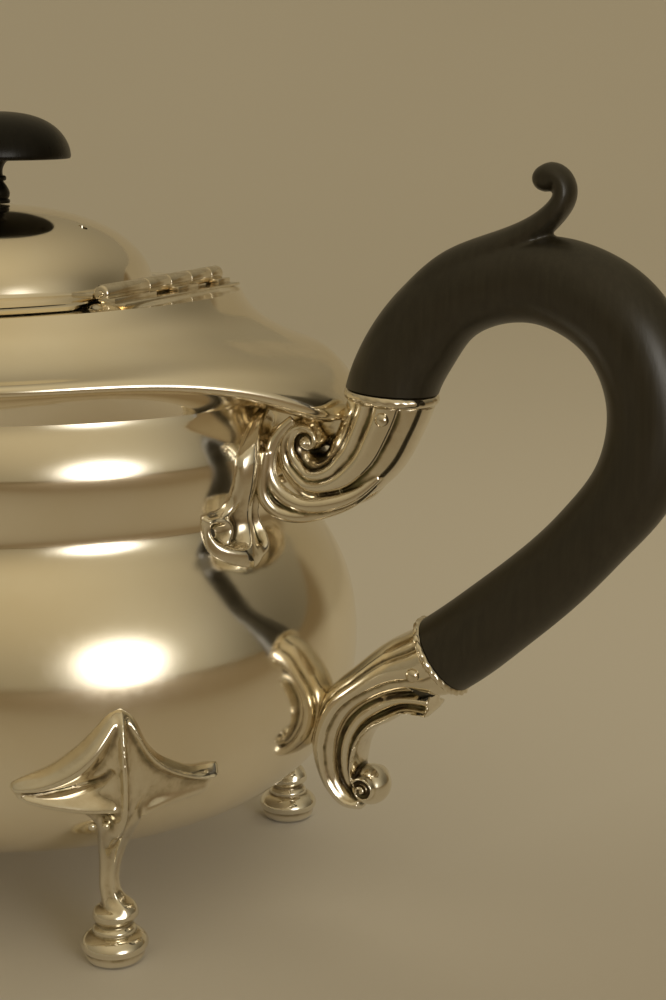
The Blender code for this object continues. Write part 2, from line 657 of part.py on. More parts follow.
# ----------------------------------------------------------------- the spout
rings = []
SPOUT_N = 18
line = spline(SPOUT, 13)
for k, (x, z, wy, wz) in enumerate(line):
    a, b = line[max(k - 1, 0)], line[min(k + 1, len(line) - 1)]
    tx, tz = b[0] - a[0], b[1] - a[1]
    n = math.hypot(tx, tz)
    tx, tz = tx / n, tz / n
    lip = (k / (len(line) - 1)) ** 6
    ring = []
    for i in range(SPOUT_N):
        u = 2 * math.pi * i / SPOUT_N
        # across the tube: Y sideways and (-tz, tx) up; the outlet is pulled
        # forward on its outer side into a pouring lip
        h = math.sin(u) * wz
        f = lip * h * 0.4
        ring.append((x - tz * h + tx * f, math.cos(u) * wy, z + tx * h + tz * f))
    rings.append(ring)
spout = ring_surface("spout", rings, wall=SPOUT_WALL)
boolean(spout, envelope, 'DIFFERENCE')
finish(spout, SILVER, 0.08, 1.0)

bpy.context.view_layer.update()
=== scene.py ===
"""Looks of the silver teapot: hand-raised silver body, shoulder, lid and spout,
cast and fluted handle sockets, winged feet, and an ebonised grip and finial.

Shapes are worked out in millimetres about the pot's own upright axis and moved
into the row frame at the end by `place`.
"""
import bpy
import bmesh
import math
import numpy as np
from mathutils import Matrix, Vector


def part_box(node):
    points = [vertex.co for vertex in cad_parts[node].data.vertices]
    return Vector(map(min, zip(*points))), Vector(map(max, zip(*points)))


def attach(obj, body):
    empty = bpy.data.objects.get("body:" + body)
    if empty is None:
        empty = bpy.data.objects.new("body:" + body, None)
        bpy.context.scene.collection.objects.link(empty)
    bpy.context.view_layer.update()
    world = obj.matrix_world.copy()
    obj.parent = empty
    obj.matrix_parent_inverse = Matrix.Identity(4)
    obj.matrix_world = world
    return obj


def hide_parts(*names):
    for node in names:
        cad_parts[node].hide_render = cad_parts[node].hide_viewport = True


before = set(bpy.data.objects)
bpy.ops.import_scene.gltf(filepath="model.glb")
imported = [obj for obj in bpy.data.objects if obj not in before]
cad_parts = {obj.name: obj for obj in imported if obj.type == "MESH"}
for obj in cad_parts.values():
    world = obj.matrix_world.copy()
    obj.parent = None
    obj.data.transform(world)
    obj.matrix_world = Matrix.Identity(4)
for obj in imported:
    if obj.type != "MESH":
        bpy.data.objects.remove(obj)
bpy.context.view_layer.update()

MM = 0.001
_lo, _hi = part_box("finial_knob")
AX = (_lo.x + _hi.x) / 2 / MM          # X of the pot's upright axis, in mm


# ------------------------------------------------------------------ helpers
class Spline:
    """Cubic spline with continuous curvature through points of any dimension."""

    def __init__(self, t, p, start=None, end=None):
        self.t = np.asarray(t, float)
        p = np.asarray(p, float)
        self.flat = p.ndim == 1
        self.p = p[:, None] if self.flat else p
        n, h = len(self.t), np.diff(self.t)
        A = np.zeros((n, n))
        B = np.zeros_like(self.p)
        for i in range(1, n - 1):
            A[i, i - 1], A[i, i], A[i, i + 1] = h[i - 1], 2 * (h[i - 1] + h[i]), h[i]
            B[i] = 6 * ((self.p[i + 1] - self.p[i]) / h[i]
                        - (self.p[i] - self.p[i - 1]) / h[i - 1])
        A[0, 0] = A[-1, -1] = 1.0
        if start is not None:
            A[0, 0], A[0, 1] = 2 * h[0], h[0]
            B[0] = 6 * ((self.p[1] - self.p[0]) / h[0] - start)
        if end is not None:
            A[-1, -1], A[-1, -2] = 2 * h[-1], h[-1]
            B[-1] = 6 * (end - (self.p[-1] - self.p[-2]) / h[-1])
        self.m = np.linalg.solve(A, B)

    def __call__(self, x):
        x = np.atleast_1d(np.asarray(x, float))
        k = np.clip(np.searchsorted(self.t, x, side='right') - 1, 0, len(self.t) - 2)
        h = (self.t[k + 1] - self.t[k])[:, None]
        a = (self.t[k + 1] - x)[:, None] / h
        b = (x - self.t[k])[:, None] / h
        out = (a * self.p[k] + b * self.p[k + 1]
               + ((a ** 3 - a) * self.m[k] + (b ** 3 - b) * self.m[k + 1]) * h * h / 6)
        return out[:, 0] if self.flat else out


def through(points, n, dims=None, start=None, end=None, power=1.0):
    """n samples of a smooth curve through points, spaced by chord length."""
    p = np.asarray(points, float)
    d = np.linalg.norm(np.diff(p[:, :dims or p.shape[1]], axis=0), axis=1) ** power
    t = np.concatenate([[0], np.cumsum(d)])
    return Spline(t, p, start, end)(np.linspace(0, t[-1], n))


def mesh_from(name, verts, faces):
    me = bpy.data.meshes.new(name)
    me.from_pydata([tuple(map(float, v)) for v in verts], [], faces)
    me.update()
    return me


def grid(name, P, wrap_u=False, wrap_v=False, cap_u=(False, False)):
    """Mesh over a (U, V, 3) array of points, closed by fans where asked."""
    U, V = P.shape[:2]
    verts = [tuple(q) for q in P.reshape(-1, 3)]
    faces = []
    for i in range(U if wrap_u else U - 1):
        for j in range(V if wrap_v else V - 1):
            a, b = i * V + j, i * V + (j + 1) % V
            c, d = ((i + 1) % U) * V + (j + 1) % V, ((i + 1) % U) * V + j
            faces.append((a, b, c, d))
    for which, row in ((0, 0), (1, U - 1)):
        if cap_u[which]:
            verts.append(tuple(P[row].mean(0)))
            m = len(verts) - 1
            for j in range(V):
                a, b = row * V + j, row * V + (j + 1) % V
                faces.append((a, b, m))
    me = mesh_from(name, verts, faces)
    bm = bmesh.new()
    bm.from_mesh(me)
    bmesh.ops.remove_doubles(bm, verts=bm.verts, dist=1e-5)
    bmesh.ops.recalc_face_normals(bm, faces=bm.faces)
    bm.to_mesh(me)
    bm.free()
    return me


def scratch(name, me):
    ob = bpy.data.objects.new(name, me)
    bpy.context.scene.collection.objects.link(ob)
    return ob


def baked(ob):
    """The object's evaluated mesh; the object itself is removed."""
    dg = bpy.context.evaluated_depsgraph_get()
    me = bpy.data.meshes.new_from_object(ob.evaluated_get(dg))
    bpy.data.objects.remove(ob)
    return me


def joined(name, meshes):
    bm = bmesh.new()
    for me in meshes:
        bm.from_mesh(me)
    me = bpy.data.meshes.new(name)
    bm.to_mesh(me)
    bm.free()
    return me


def remeshed(name, meshes, voxel, smooth=3, factor=0.5):
    """One skin round several overlapping closed shapes, softened where they meet."""
    ob = scratch(name, joined(name, meshes))
    m = ob.modifiers.new("skin", 'REMESH')
    m.mode = 'VOXEL'
    m.voxel_size = voxel
    m.use_smooth_shade = True
    if smooth:
        s = ob.modifiers.new("soften", 'SMOOTH')
        s.factor = factor
        s.iterations = smooth
    return baked(ob)


def cut(name, me, cutters, op='DIFFERENCE', solver='EXACT'):
    ob = scratch(name, me)
    tools = []
    for i, c in enumerate(cutters):
        t = scratch(f"{name}_tool{i}", c)
        m = ob.modifiers.new(f"cut{i}", 'BOOLEAN')
        m.operation, m.solver, m.object = op, solver, t
        tools.append(t)
    out = baked(ob)
    for t in tools:
        bpy.data.objects.remove(t)
    return out


def solidified(name, me, wall, offset=-1.0):
    ob = scratch(name, me)
    m = ob.modifiers.new("wall", 'SOLIDIFY')
    m.thickness = wall
    m.offset = offset
    m.use_even_offset = True
    m.use_quality_normals = True
    return baked(ob)


def lathe(name, profile, steps=96, scale_y=1.0, axis='Z', centre=(0, 0, 0), spin=0.0):
    """Closed turned shape from a closed (radius, height) outline."""
    p = np.asarray(profile, float)
    a = np.linspace(0, 2 * np.pi, steps, endpoint=False) + spin
    P = np.zeros((len(p), steps, 3))
    P[..., 0] = p[:, None, 0] * np.cos(a)
    P[..., 1] = p[:, None, 0] * np.sin(a) * scale_y
    P[..., 2] = p[:, None, 1]
    closed = p[0, 0] > 1e-6 or p[-1, 0] > 1e-6
    me = grid(name, P, wrap_u=closed, wrap_v=True)
    if axis == 'Y':
        me.transform(Matrix.Rotation(-math.pi / 2, 4, 'X'))
    elif axis != 'Z':
        q = Vector((0, 0, 1)).rotation_difference(Vector(axis).normalized())
        me.transform(q.to_matrix().to_4x4())
    me.transform(Matrix.Translation(centre))
    return me


def tube(name, pts, n, around=32, dims=3, flat=None, caps=True, turns=None):
    """Round or oval bar through (x, y, z, r[, ry]) points in the XZ plane:
    r across the bar in that plane, ry along Y."""
    s = through(pts, n, dims)
    c = s[:, :3]
    t = np.gradient(c, axis=0)
    t /= np.linalg.norm(t, axis=1)[:, None]
    y = np.array([0.0, 1.0, 0.0])
    nrm = np.cross(t, y)
    nrm /= np.linalg.norm(nrm, axis=1)[:, None]
    bi = np.cross(nrm, t)
    a = np.linspace(0, 2 * np.pi, around, endpoint=False)
    r = s[:, 3]
    ry = s[:, 4] if s.shape[1] > 4 else r
    P = (c[:, None, :] + nrm[:, None, :] * (r[:, None] * np.cos(a))[..., None]
         + bi[:, None, :] * (ry[:, None] * np.sin(a))[..., None])
    return grid(name, P, wrap_v=True, cap_u=(caps, caps))


def ball(name, centre, r, scale=(1, 1, 1), rows=24):
    a = np.linspace(0, np.pi, rows)
    prof = [(r * math.sin(x) if 0 < k < rows - 1 else 0.0, r * math.cos(x))
            for k, x in enumerate(a)]
    me = lathe(name, prof, 2 * rows)
    me.transform(Matrix.Translation(centre) @ Matrix.Diagonal((*scale, 1)))
    return me


def block(name, lo, hi, bevel=0.0):
    bm = bmesh.new()
    bmesh.ops.create_cube(bm, size=1.0)
    for v in bm.verts:
        v.co = Vector([lo[i] + (v.co[i] + 0.5) * (hi[i] - lo[i]) for i in range(3)])
    if bevel:
        bmesh.ops.bevel(bm, geom=bm.edges[:], offset=bevel, segments=2,
                        affect='EDGES', profile=0.5)
    me = bpy.data.meshes.new(name)
    bm.to_mesh(me)
    bm.free()
    return me


def neighbours_mean(edges, count, values):
    acc = np.zeros_like(values)
    num = np.zeros(count)
    for a, b in ((0, 1), (1, 0)):
        np.add.at(acc, edges[:, a], values[edges[:, b]])
        np.add.at(num, edges[:, a], 1.0)
    num = np.maximum(num, 1.0)
    return acc / (num[:, None] if values.ndim > 1 else num)


def mark_hollows(me, reach=3, gain=1.0):
    """Stores how deep in a hollow each point lies as the attribute 'hollow'."""
    n = len(me.vertices)
    co = np.zeros(n * 3)
    me.vertices.foreach_get("co", co)
    co = co.reshape(-1, 3)
    no = np.zeros(n * 3)
    me.vertices.foreach_get("normal", no)
    no = no.reshape(-1, 3)
    e = np.zeros(len(me.edges) * 2, int)
    me.edges.foreach_get("vertices", e)
    e = e.reshape(-1, 2)
    q = co
    for _ in range(reach * 4):
        q = 0.5 * q + 0.5 * neighbours_mean(e, n, q)
    h = ((q - co) * no).sum(1)
    for _ in range(2):
        h = 0.5 * h + 0.5 * neighbours_mean(e, n, h)
    h = np.clip(h * gain, -1, 1).astype(np.float32)
    at = me.attributes.get("hollow") or me.attributes.new("hollow", 'FLOAT', 'POINT')
    at.data.foreach_set("value", h)


def place(name, me, body, nodes, mat, sharp=40.0, hollows=None):
    """Moves a millimetre mesh into the row frame as a finished piece."""
    if hollows:
        mark_hollows(me, *hollows)
    me.transform(Matrix.Translation((AX, 0, 0)))
    me.transform(Matrix.Scale(MM, 4))
    me.name = name
    me.materials.clear()
    me.materials.append(mat)
    me.shade_smooth()
    if sharp:
        me.set_sharp_from_angle(angle=math.radians(sharp))
    ob = bpy.data.objects.new(name, me)
    bpy.context.scene.collection.objects.link(ob)
    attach(ob, body)
    if nodes:
        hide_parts(*nodes)
    return ob


# ---------------------------------------------------------------- materials
def node_tree(name):
    m = bpy.data.materials.new(name)
    m.use_nodes = True
    t = m.node_tree
    return m, t, t.nodes["Principled BSDF"]


def add(t, kind, **props):
    n = t.nodes.new(kind)
    for k, v in props.items():
        setattr(n, k, v)
    return n


def noise(t, vec, scale, detail=3.0, rough=0.5):
    n = add(t, "ShaderNodeTexNoise")
    n.inputs["Scale"].default_value = scale
    n.inputs["Detail"].default_value = detail
    n.inputs["Roughness"].default_value = rough
    t.links.new(vec, n.inputs["Vector"])
    return n.outputs["Fac"]


def stretched(t, scale, rotation=(0, 0, 0)):
    c = add(t, "ShaderNodeTexCoord")
    m = add(t, "ShaderNodeMapping")
    m.inputs["Scale"].default_value = scale
    m.inputs["Rotation"].default_value = rotation
    t.links.new(c.outputs["Object"], m.inputs["Vector"])
    return m.outputs["Vector"]


def span(t, value, a, b, lo, hi):
    n = add(t, "ShaderNodeMapRange")
    n.inputs["From Min"].default_value = a
    n.inputs["From Max"].default_value = b
    n.inputs["To Min"].default_value = lo
    n.inputs["To Max"].default_value = hi
    t.links.new(value, n.inputs["Value"])
    return n.outputs["Result"]


def blended(t, fac, a, b):
    n = add(t, "ShaderNodeMix", data_type='RGBA')
    t.links.new(fac, n.inputs["Factor"])
    for sock, v in ((n.inputs["A"], a), (n.inputs["B"], b)):
        if isinstance(v, tuple):
            sock.default_value = (*v, 1.0)
        else:
            t.links.new(v, sock)
    return n.outputs["Result"]


def calc(t, op, a, b=None):
    n = add(t, "ShaderNodeMath", operation=op)
    for k, v in enumerate((a, b)):
        if v is None:
            continue
        if isinstance(v, (int, float)):
            n.inputs[k].default_value = v
        else:
            t.links.new(v, n.inputs[k])
    return n.outputs["Value"]


def bumped(t, p, height, distance, strength=1.0, base=None):
    n = add(t, "ShaderNodeBump")
    n.inputs["Strength"].default_value = strength
    n.inputs["Distance"].default_value = distance
    t.links.new(height, n.inputs["Height"])
    if base is not None:
        t.links.new(base, n.inputs["Normal"])
    if p is not None:
        t.links.new(n.outputs["Normal"], p.inputs["Normal"])
    return n.outputs["Normal"]


def silver(name, bright, rough, wave=1.0, tarnish=0.0, dark=(0.10, 0.075, 0.04)):
    """Polished silver: faint waviness from the hammer, hairline polishing
    scratches and thin warm tarnish that gathers in the hollows."""
    m, t, p = node_tree(name)
    p.inputs["Metallic"].default_value = 1.0
    iso = stretched(t, (1, 1, 1))
    cloud = noise(t, iso, 38.0, 4.0, 0.55)
    fine = noise(t, iso, 420.0, 3.0, 0.6)
    tint = blended(t, span(t, cloud, 0.35, 0.72, 0.0, 1.0), bright,
                   tuple(c * k for c, k in zip(bright, (0.955, 0.93, 0.87))))
    if tarnish:
        at = add(t, "ShaderNodeAttribute", attribute_name="hollow")
        deep = calc(t, 'ADD', at.outputs["Fac"],
                    span(t, fine, 0.3, 0.7, -0.12, 0.12))
        hol = span(t, deep, 0.05, 0.50, 0.0, tarnish)
        green = noise(t, iso, 160.0, 2.0, 0.5)
        grime = blended(t, span(t, green, 0.42, 0.62, 0.0, 1.0), dark,
                        (0.16, 0.15, 0.075))
        warm = span(t, deep, -0.15, 0.25, 0.0, 0.72)
        tint = blended(t, warm, tint, (0.60, 0.49, 0.32))
        tint = blended(t, hol, tint, grime)
        r = calc(t, 'ADD', span(t, cloud, 0.3, 0.7, rough * 0.8, rough * 1.3),
                 span(t, deep, 0.1, 0.8, 0.0, 0.30))
    else:
        r = calc(t, 'ADD', span(t, cloud, 0.3, 0.7, rough * 0.75, rough * 1.35),
                 span(t, fine, 0.45, 0.75, 0.0, rough * 0.35))
    t.links.new(tint, p.inputs["Base Color"])
    t.links.new(r, p.inputs["Roughness"])
    broad = noise(t, iso, 24.0, 2.0, 0.4)
    n1 = bumped(t, None, broad, 0.00035 * wave, 0.35)
    hair = noise(t, stretched(t, (40, 700, 2600), (0.5, 0.35, 0.2)), 1.0, 2.0, 0.7)
    hair2 = noise(t, stretched(t, (2200, 60, 420), (0.2, 1.1, 0.6)), 1.0, 2.0, 0.7)
    bumped(t, p, calc(t, 'ADD', hair, hair2), 0.000006, 0.30, n1)
    return m


def ebony_wood(name, shade, rough, sheen=0.5):
    """Ebonised hardwood: near black, straight open grain, satin wax."""
    m, t, p = node_tree(name)
    grain = stretched(t, (900, 900, 60), (0, 0.5, 0))
    g = noise(t, grain, 1.0, 5.0, 0.65)
    band = noise(t, stretched(t, (140, 140, 14), (0, 0.5, 0)), 1.0, 3.0, 0.5)
    wear = noise(t, stretched(t, (1, 1, 1)), 55.0, 3.0, 0.5)
    c = blended(t, span(t, g, 0.38, 0.68, 0.0, 1.0), tuple(shade * v for v in (0.85, 0.72, 0.43)),
                tuple(shade * v for v in (1.3, 1.12, 0.70)))
    c = blended(t, span(t, band, 0.35, 0.7, 0.0, 0.5), c,
                tuple(shade * v for v in (1.05, 0.86, 0.50)))
    t.links.new(c, p.inputs["Base Color"])
    t.links.new(calc(t, 'ADD', span(t, wear, 0.3, 0.7, rough, rough * 1.35),
                     span(t, g, 0.3, 0.7, 0.0, 0.06)), p.inputs["Roughness"])
    p.inputs["Specular IOR Level"].default_value = sheen
    bumped(t, p, calc(t, 'ADD', g, calc(t, 'MULTIPLY', wear, 0.6)), 0.00006, 0.5)
    return m


SILVER = silver("hand_raised_silver", (0.94, 0.885, 0.765), 0.115, 1.25)
LID_SILVER = silver("raised_lid_silver", (0.94, 0.88, 0.755), 0.09, 0.8)
EDGE_SILVER = silver("drawn_hinge_silver", (0.92, 0.87, 0.76), 0.14, 0.5, 0.9)
CAST = silver("cast_chased_silver", (0.83, 0.785, 0.68), 0.13, 1.6, 0.97,
              (0.06, 0.045, 0.028))
FOOT = silver("cast_foot_silver", (0.87, 0.83, 0.73), 0.10, 1.2, 0.95,
              (0.07, 0.05, 0.03))
INNER = silver("plain_inner_silver", (0.88, 0.85, 0.79), 0.22, 1.0, 0.5)
EBONY = ebony_wood("ebonised_grip", 0.025, 0.29)
KNOB_EBONY = ebony_wood("ebonised_knob", 0.0062, 0.24, 0.20)

# --------------------------------------------------------------------- body
OVAL = 1.12
GAP = 0.3
BODY_PROFILE = [
    (60.45, 99.6), (60.7, 98.6), (61.5, 96.9), (62.8, 94.2), (63.8, 90.4), (63.5, 86.0), (62.4, 82.2),
    (61.7, 78.8), (62.6, 75.4), (65.4, 71.6), (68.3, 67.2), (70.8, 61.9), (72.7, 53.5),
    (72.6, 43.5), (70.0, 34.0), (64.2, 25.6), (54.5, 19.2), (40.0, 15.9), (22.0, 15.0),
    (0.0, 15.0)]
body_line = through(BODY_PROFILE, 190)


def _inward(line, d):
    t = np.gradient(line, axis=0)
    n = np.stack([-t[:, 1], t[:, 0]], 1)
    n /= np.linalg.norm(n, axis=1)[:, None]
    q = line - n * d
    q[:, 0] = np.maximum(q[:, 0], 0.0)
    q[-1, 0] = 0.0
    return q


def body_a(z, off=0.0):
    q = body_line[np.argsort(body_line[:, 1])]
    return np.interp(z, q[:, 1], q[:, 0]) + off


def on_body(t, z, off=0.0):
    """Point at plan parameter t (radians) and height z, off mm proud of the body."""
    a = body_a(z)
    da = (body_a(z + 0.3) - body_a(z - 0.3)) / 0.6
    c, s = np.cos(t), np.sin(t)
    p = np.stack([a * c, a / OVAL * s, z + 0 * t], -1)
    n = np.stack([c, s * OVAL, -da * np.ones_like(t)], -1)
    n /= np.linalg.norm(n, axis=-1)[..., None]
    return p + n * np.asarray(off)[..., None]


inner_line = _inward(body_line, 1.0)
inner_line[0, 1] = 99.6
strainer = []
for row in range(-2, 3):
    for col in range(-2, 3):
        y, z = col * 4.6 + (2.3 if row % 2 else 0.0), 47.0 + row * 4.2
        if math.hypot(y, z - 47.0) <= 9.6:
            me = lathe("strainer_hole", [(0, 7), (1.3, 7), (1.3, -7), (0, -7)], 20,
                       axis=(1, 0, 0), centre=(-71.0, y, z))
            strainer.append(me)
body = lathe("body", np.vstack([body_line, inner_line[::-1]]), 192, 1 / OVAL)
body = cut("body", body, [joined("holes", strainer)])
place("raised_body", body, "pot", ["body_shell"], SILVER, 50)

env_line = _inward(body_line, -0.06)
env_line[0, 1] = 99.9
envelope = lathe("envelope", np.vstack([[(0.0, 99.9)], env_line]), 128, 1 / OVAL)

# ------------------------------------------------------------------- collar
EDGE_DEG = [-12.0, -6.0, 0.0, 6.0, 12.0, 24.0, 38.0, 55.0, 72.0, 90.0, 108.0]
EDGE_R = Spline(EDGE_DEG, [72.3, 75.6, 76.4, 75.6, 72.3, 65.6, 61.6, 60.6, 59.6, 58.8, 59.6])
EDGE_Z = Spline(EDGE_DEG, [100.2, 97.2, 96.2, 97.2, 100.2, 103.9, 104.9, 104.8, 104.6, 104.5, 104.6])
SEAT_A, SEAT_B = 49.0, 46.8
MOUTH_R, MOUTH_CHORD = 42.5, 35.6


def folded(t):
    return math.degrees(math.acos(min(1.0, abs(math.cos(t)))))


def seat_z(t):
    return 116.1 + 1.7 * abs(math.cos(t)) ** 1.3


def clipped(r, t, chord, soft=0.0):
    x, y = r * math.cos(t), r * math.sin(t)
    return (min(x, chord), y)


def blunt(d):
    """Distance from the tongue's tip, rounded off so that the tip isn't a point."""
    return math.sqrt(d * d + 1.2 ** 2) - 1.2 if d < 20 else d - 1.165


SIDE = [(0.0, 0.0), (0.05, 0.10), (0.14, 0.27), (0.38, 0.54), (0.66, 0.735),
        (0.88, 0.815), (0.965, 0.845), (1.0, 0.90), (0.99, 0.965), (0.94, 1.0)]
END = [(0.0, 0.0), (0.04, 0.11), (0.14, 0.26), (0.38, 0.39), (0.64, 0.49),
       (0.84, 0.63), (0.945, 0.79), (1.0, 0.905), (0.99, 0.965), (0.94, 1.0)]
COLLAR_T, COLLAR_S = 360, 84
PAD_X, PAD_Z = [35.0, 42.0, 44.0, 46.6, 50.6], [118.3, 118.3, 117.9, 116.6, 112.6]


def eased(q):
    q = min(1.0, max(0.0, q))
    return q * q * (3 - 2 * q)


def swollen(x, y, z):
    """The shoulder's face with the low swelling raised to carry the hinge."""
    if x < 35.7 or abs(y) > 26:
        return z
    k = eased((x - 35.7) / 0.5) * eased((49.3 - math.hypot(x, y)) / 5.0) \
        * eased((25.2 - abs(y)) / 2.2)
    d = float(np.interp(x, PAD_X, PAD_Z)) - z
    return z + k * 0.5 * (d + math.sqrt(d * d + 0.2))


P = []
for i in range(COLLAR_T):
    t = 2 * math.pi * (i + 0.5) / COLLAR_T
    d = folded(t)
    w = math.exp(-(d / 26.0) ** 2)
    c, s = math.cos(t), math.sin(t)
    r, ze, zs = float(EDGE_R(d)[0]), float(EDGE_Z(d)[0]), seat_z(t)
    ctrl = [(a + (e - a) * w, b + (f - b) * w) for (a, b), (e, f) in zip(SIDE, END)]
    gh = through(ctrl, COLLAR_S)
    ring = [(*clipped(MOUTH_R, t, MOUTH_CHORD), zs), ]
    mx, my = ring[0][:2]
    for k in (0.012, 0.03, 0.05, 0.08, 0.14, 0.25, 0.38, 0.5, 0.56, 0.62, 0.68, 0.74, 0.8,
              0.86, 0.92, 0.97):
        x, y = mx + (SEAT_A * c - mx) * k, my + (SEAT_B * s - my) * k
        ring.append((x, y, swollen(x, y, zs)))
    for g, h in gh:
        x, y = (SEAT_A + (r - SEAT_A) * g) * c, (SEAT_B + (r - SEAT_B) * g) * s
        ring.append((x, y, swollen(x, y, zs + (ze - zs) * h)))
    # hollow underside down to the body
    bx, by = 60.62 * c, 60.62 / OVAL * s
    ex, ey, ez = ring[-1]
    for k in range(1, 15):
        q = k / 14
        u, v = math.sin(math.pi / 2 * q) ** 0.9, 1 - math.cos(math.pi / 2 * q)
        u, v = 0.55 * q + 0.45 * u, 0.55 * q + 0.45 * v
        ring.append((ex + (bx - ex) * u, ey + (by - ey) * u, ez + (99.4 - ez) * v))
    P.append(ring)
P = np.array(P).transpose(1, 0, 2)
collar = grid("collar", P, wrap_v=True)
collar = solidified("collar", collar, 0.8)
place("shoulder", collar, "pot", ["shoulder_collar"], SILVER, 50)

# ---------------------------------------------------------------------- lid
LID_R, LID_CHORD, LID_WALL = 45.0, 35.35, 0.9
CREASE_A, CREASE_B, CREASE_Z, DOME_TOP = 30.5, 32.5, 119.2, 134.1
dome = through([(0.0, 1.0), (0.20, 0.98), (0.40, 0.915), (0.58, 0.81), (0.76, 0.64),
                (0.90, 0.405), (0.97, 0.20), (1.0, 0.0)], 70, start=np.array([1.0, 0.0]))
P = []
for i in range(240):
    t = 2 * math.pi * (i + 0.5) / 240
    c, s = math.cos(t), math.sin(t)
    ring = [(1.8 * c, 1.8 * s, DOME_TOP)]
    for g, h in dome:
        if g * CREASE_A > 2.4:
            ring.append((CREASE_A * g * c, CREASE_B * g * s,
                         CREASE_Z + (DOME_TOP - CREASE_Z) * h))
    ex, ey = clipped(LID_R, t, LID_CHORD)
    cx, cy = CREASE_A * c, CREASE_B * s
    rim = seat_z(t) + GAP + LID_WALL
    for v, z in ((0.015, -0.28), (0.045, -0.42), (0.085, -0.34), (0.11, -0.30),
                 (0.135, -0.40), (0.30, -0.30), (0.55, -0.12), (0.80, -0.02),
                 (0.97, 0.0), (1.0, -0.25)):
        ring.append((cx + (ex - cx) * v, cy + (ey - cy) * v,
                     CREASE_Z + (rim - CREASE_Z) * v + z))
    P.append(ring)
P = np.array(P).transpose(1, 0, 2)
lid = solidified("lid", grid("lid", P, wrap_v=True), LID_WALL - 0.05)
vent = lathe("vent", [(0, 6), (0.85, 6), (0.85, -6), (0, -6)], 24, centre=(20.5, 0, 129.0))
lid = cut("lid", lid, [vent])
place("domed_lid", lid, "lid", ["lid_dome"], LID_SILVER, 38)

P = []
for i in range(160):
    t = 2 * math.pi * (i + 0.5) / 160
    x, y = clipped(41.9, t, 34.9)
    z = seat_z(t) - 0.1
    x1, y1 = clipped(41.6, t, 34.6)
    x2, y2 = clipped(40.9, t, 33.9)
    x3, y3 = clipped(41.1, t, 34.1)
    P.append([(x, y, z), (x1, y1, 114.0), (x1 * 0.998, y1 * 0.998, 113.7), (x2, y2, 113.6),
              (x2 * 0.997, y2 * 0.997, 113.9), (x3, y3, z)])
bezel = grid("bezel", np.array(P).transpose(1, 0, 2), wrap_u=True, wrap_v=True)
place("lid_bezel_ring", bezel, "lid", ["lid_bezel"], INNER, 40)

# -------------------------------------------------------------------- hinge
HX, HZ, HALF = 37.6, 120.1, 22.7
KNUCKLES = [(-22.7, -7.3, 'pot'), (-7.3, 0.9, 'lid'), (0.9, 9.2, 'pot'),
            (9.2, 17.5, 'lid'), (17.5, 22.7, 'pot')]


def knuckle(y0, y1):
    r, e = 1.58, 0.16
    near, far = (0.6 if y0 == -HALF else e), (0.6 if y1 == HALF else e)
    a, b = y0 + 0.08, y1 - 0.08
    prof = [(0.66, b), (r - far, b), (r - far * 0.62, b - far * 0.08),
            (r - far * 0.3, b - far * 0.3), (r - far * 0.08, b - far * 0.62), (r, b - far),
            (r, a + near), (r - near * 0.08, a + near * 0.62),
            (r - near * 0.3, a + near * 0.3), (r - near * 0.62, a + near * 0.08),
            (r - near, a), (0.66, a)]
    me = lathe("knuckle", prof, 48)
    me.transform(Matrix.Rotation(-math.pi / 2, 4, 'X'))
    me.transform(Matrix.Translation((HX, 0, HZ)))
    return me


for side in ('pot', 'lid'):
    bits = []
    for y0, y1, owner in KNUCKLES:
        if owner != side:
            continue
        bits.append(knuckle(y0, y1))
        if side == 'pot':
            bits.append(block("tongue", (HX + 0.1, y0 + 0.1, 118.0),
                              (HX + 3.0, y1 - 0.1, 119.35), 0.12))
        else:
            bits.append(block("tongue", (LID_CHORD - 1.0, y0 + 0.1, 119.32),
                              (HX - 0.6, y1 - 0.1, 120.15), 0.12))
    if side == 'pot':
        bits.append(block("leaf", (HX + 1.9, -HALF, 117.95), (HX + 5.2, HALF, 118.5), 0.2))
    else:
        bits.append(block("leaf", (LID_CHORD - 4.2, -HALF + 0.6, 119.1),
                          (LID_CHORD + 0.35, HALF - 0.6, 120.05), 0.25))
    place(f"hinge_leaf_on_{side}", joined("leaf", bits), side,
          ["hinge_body_leaf" if side == 'pot' else "hinge_lid_leaf"],
          EDGE_SILVER, 40)
pin = lathe("pin", [(0, 23.05), (0.35, 23.02), (0.56, 22.9), (0.62, 22.7), (0.62, -22.7),
                    (0.56, -22.9), (0.35, -23.02), (0, -23.05)], 32)
pin.transform(Matrix.Rotation(-math.pi / 2, 4, 'X'))
pin.transform(Matrix.Translation((HX, 0, HZ)))
place("hinge_pin_wire", pin, "pot", ["hinge_pin"], EDGE_SILVER, 40)

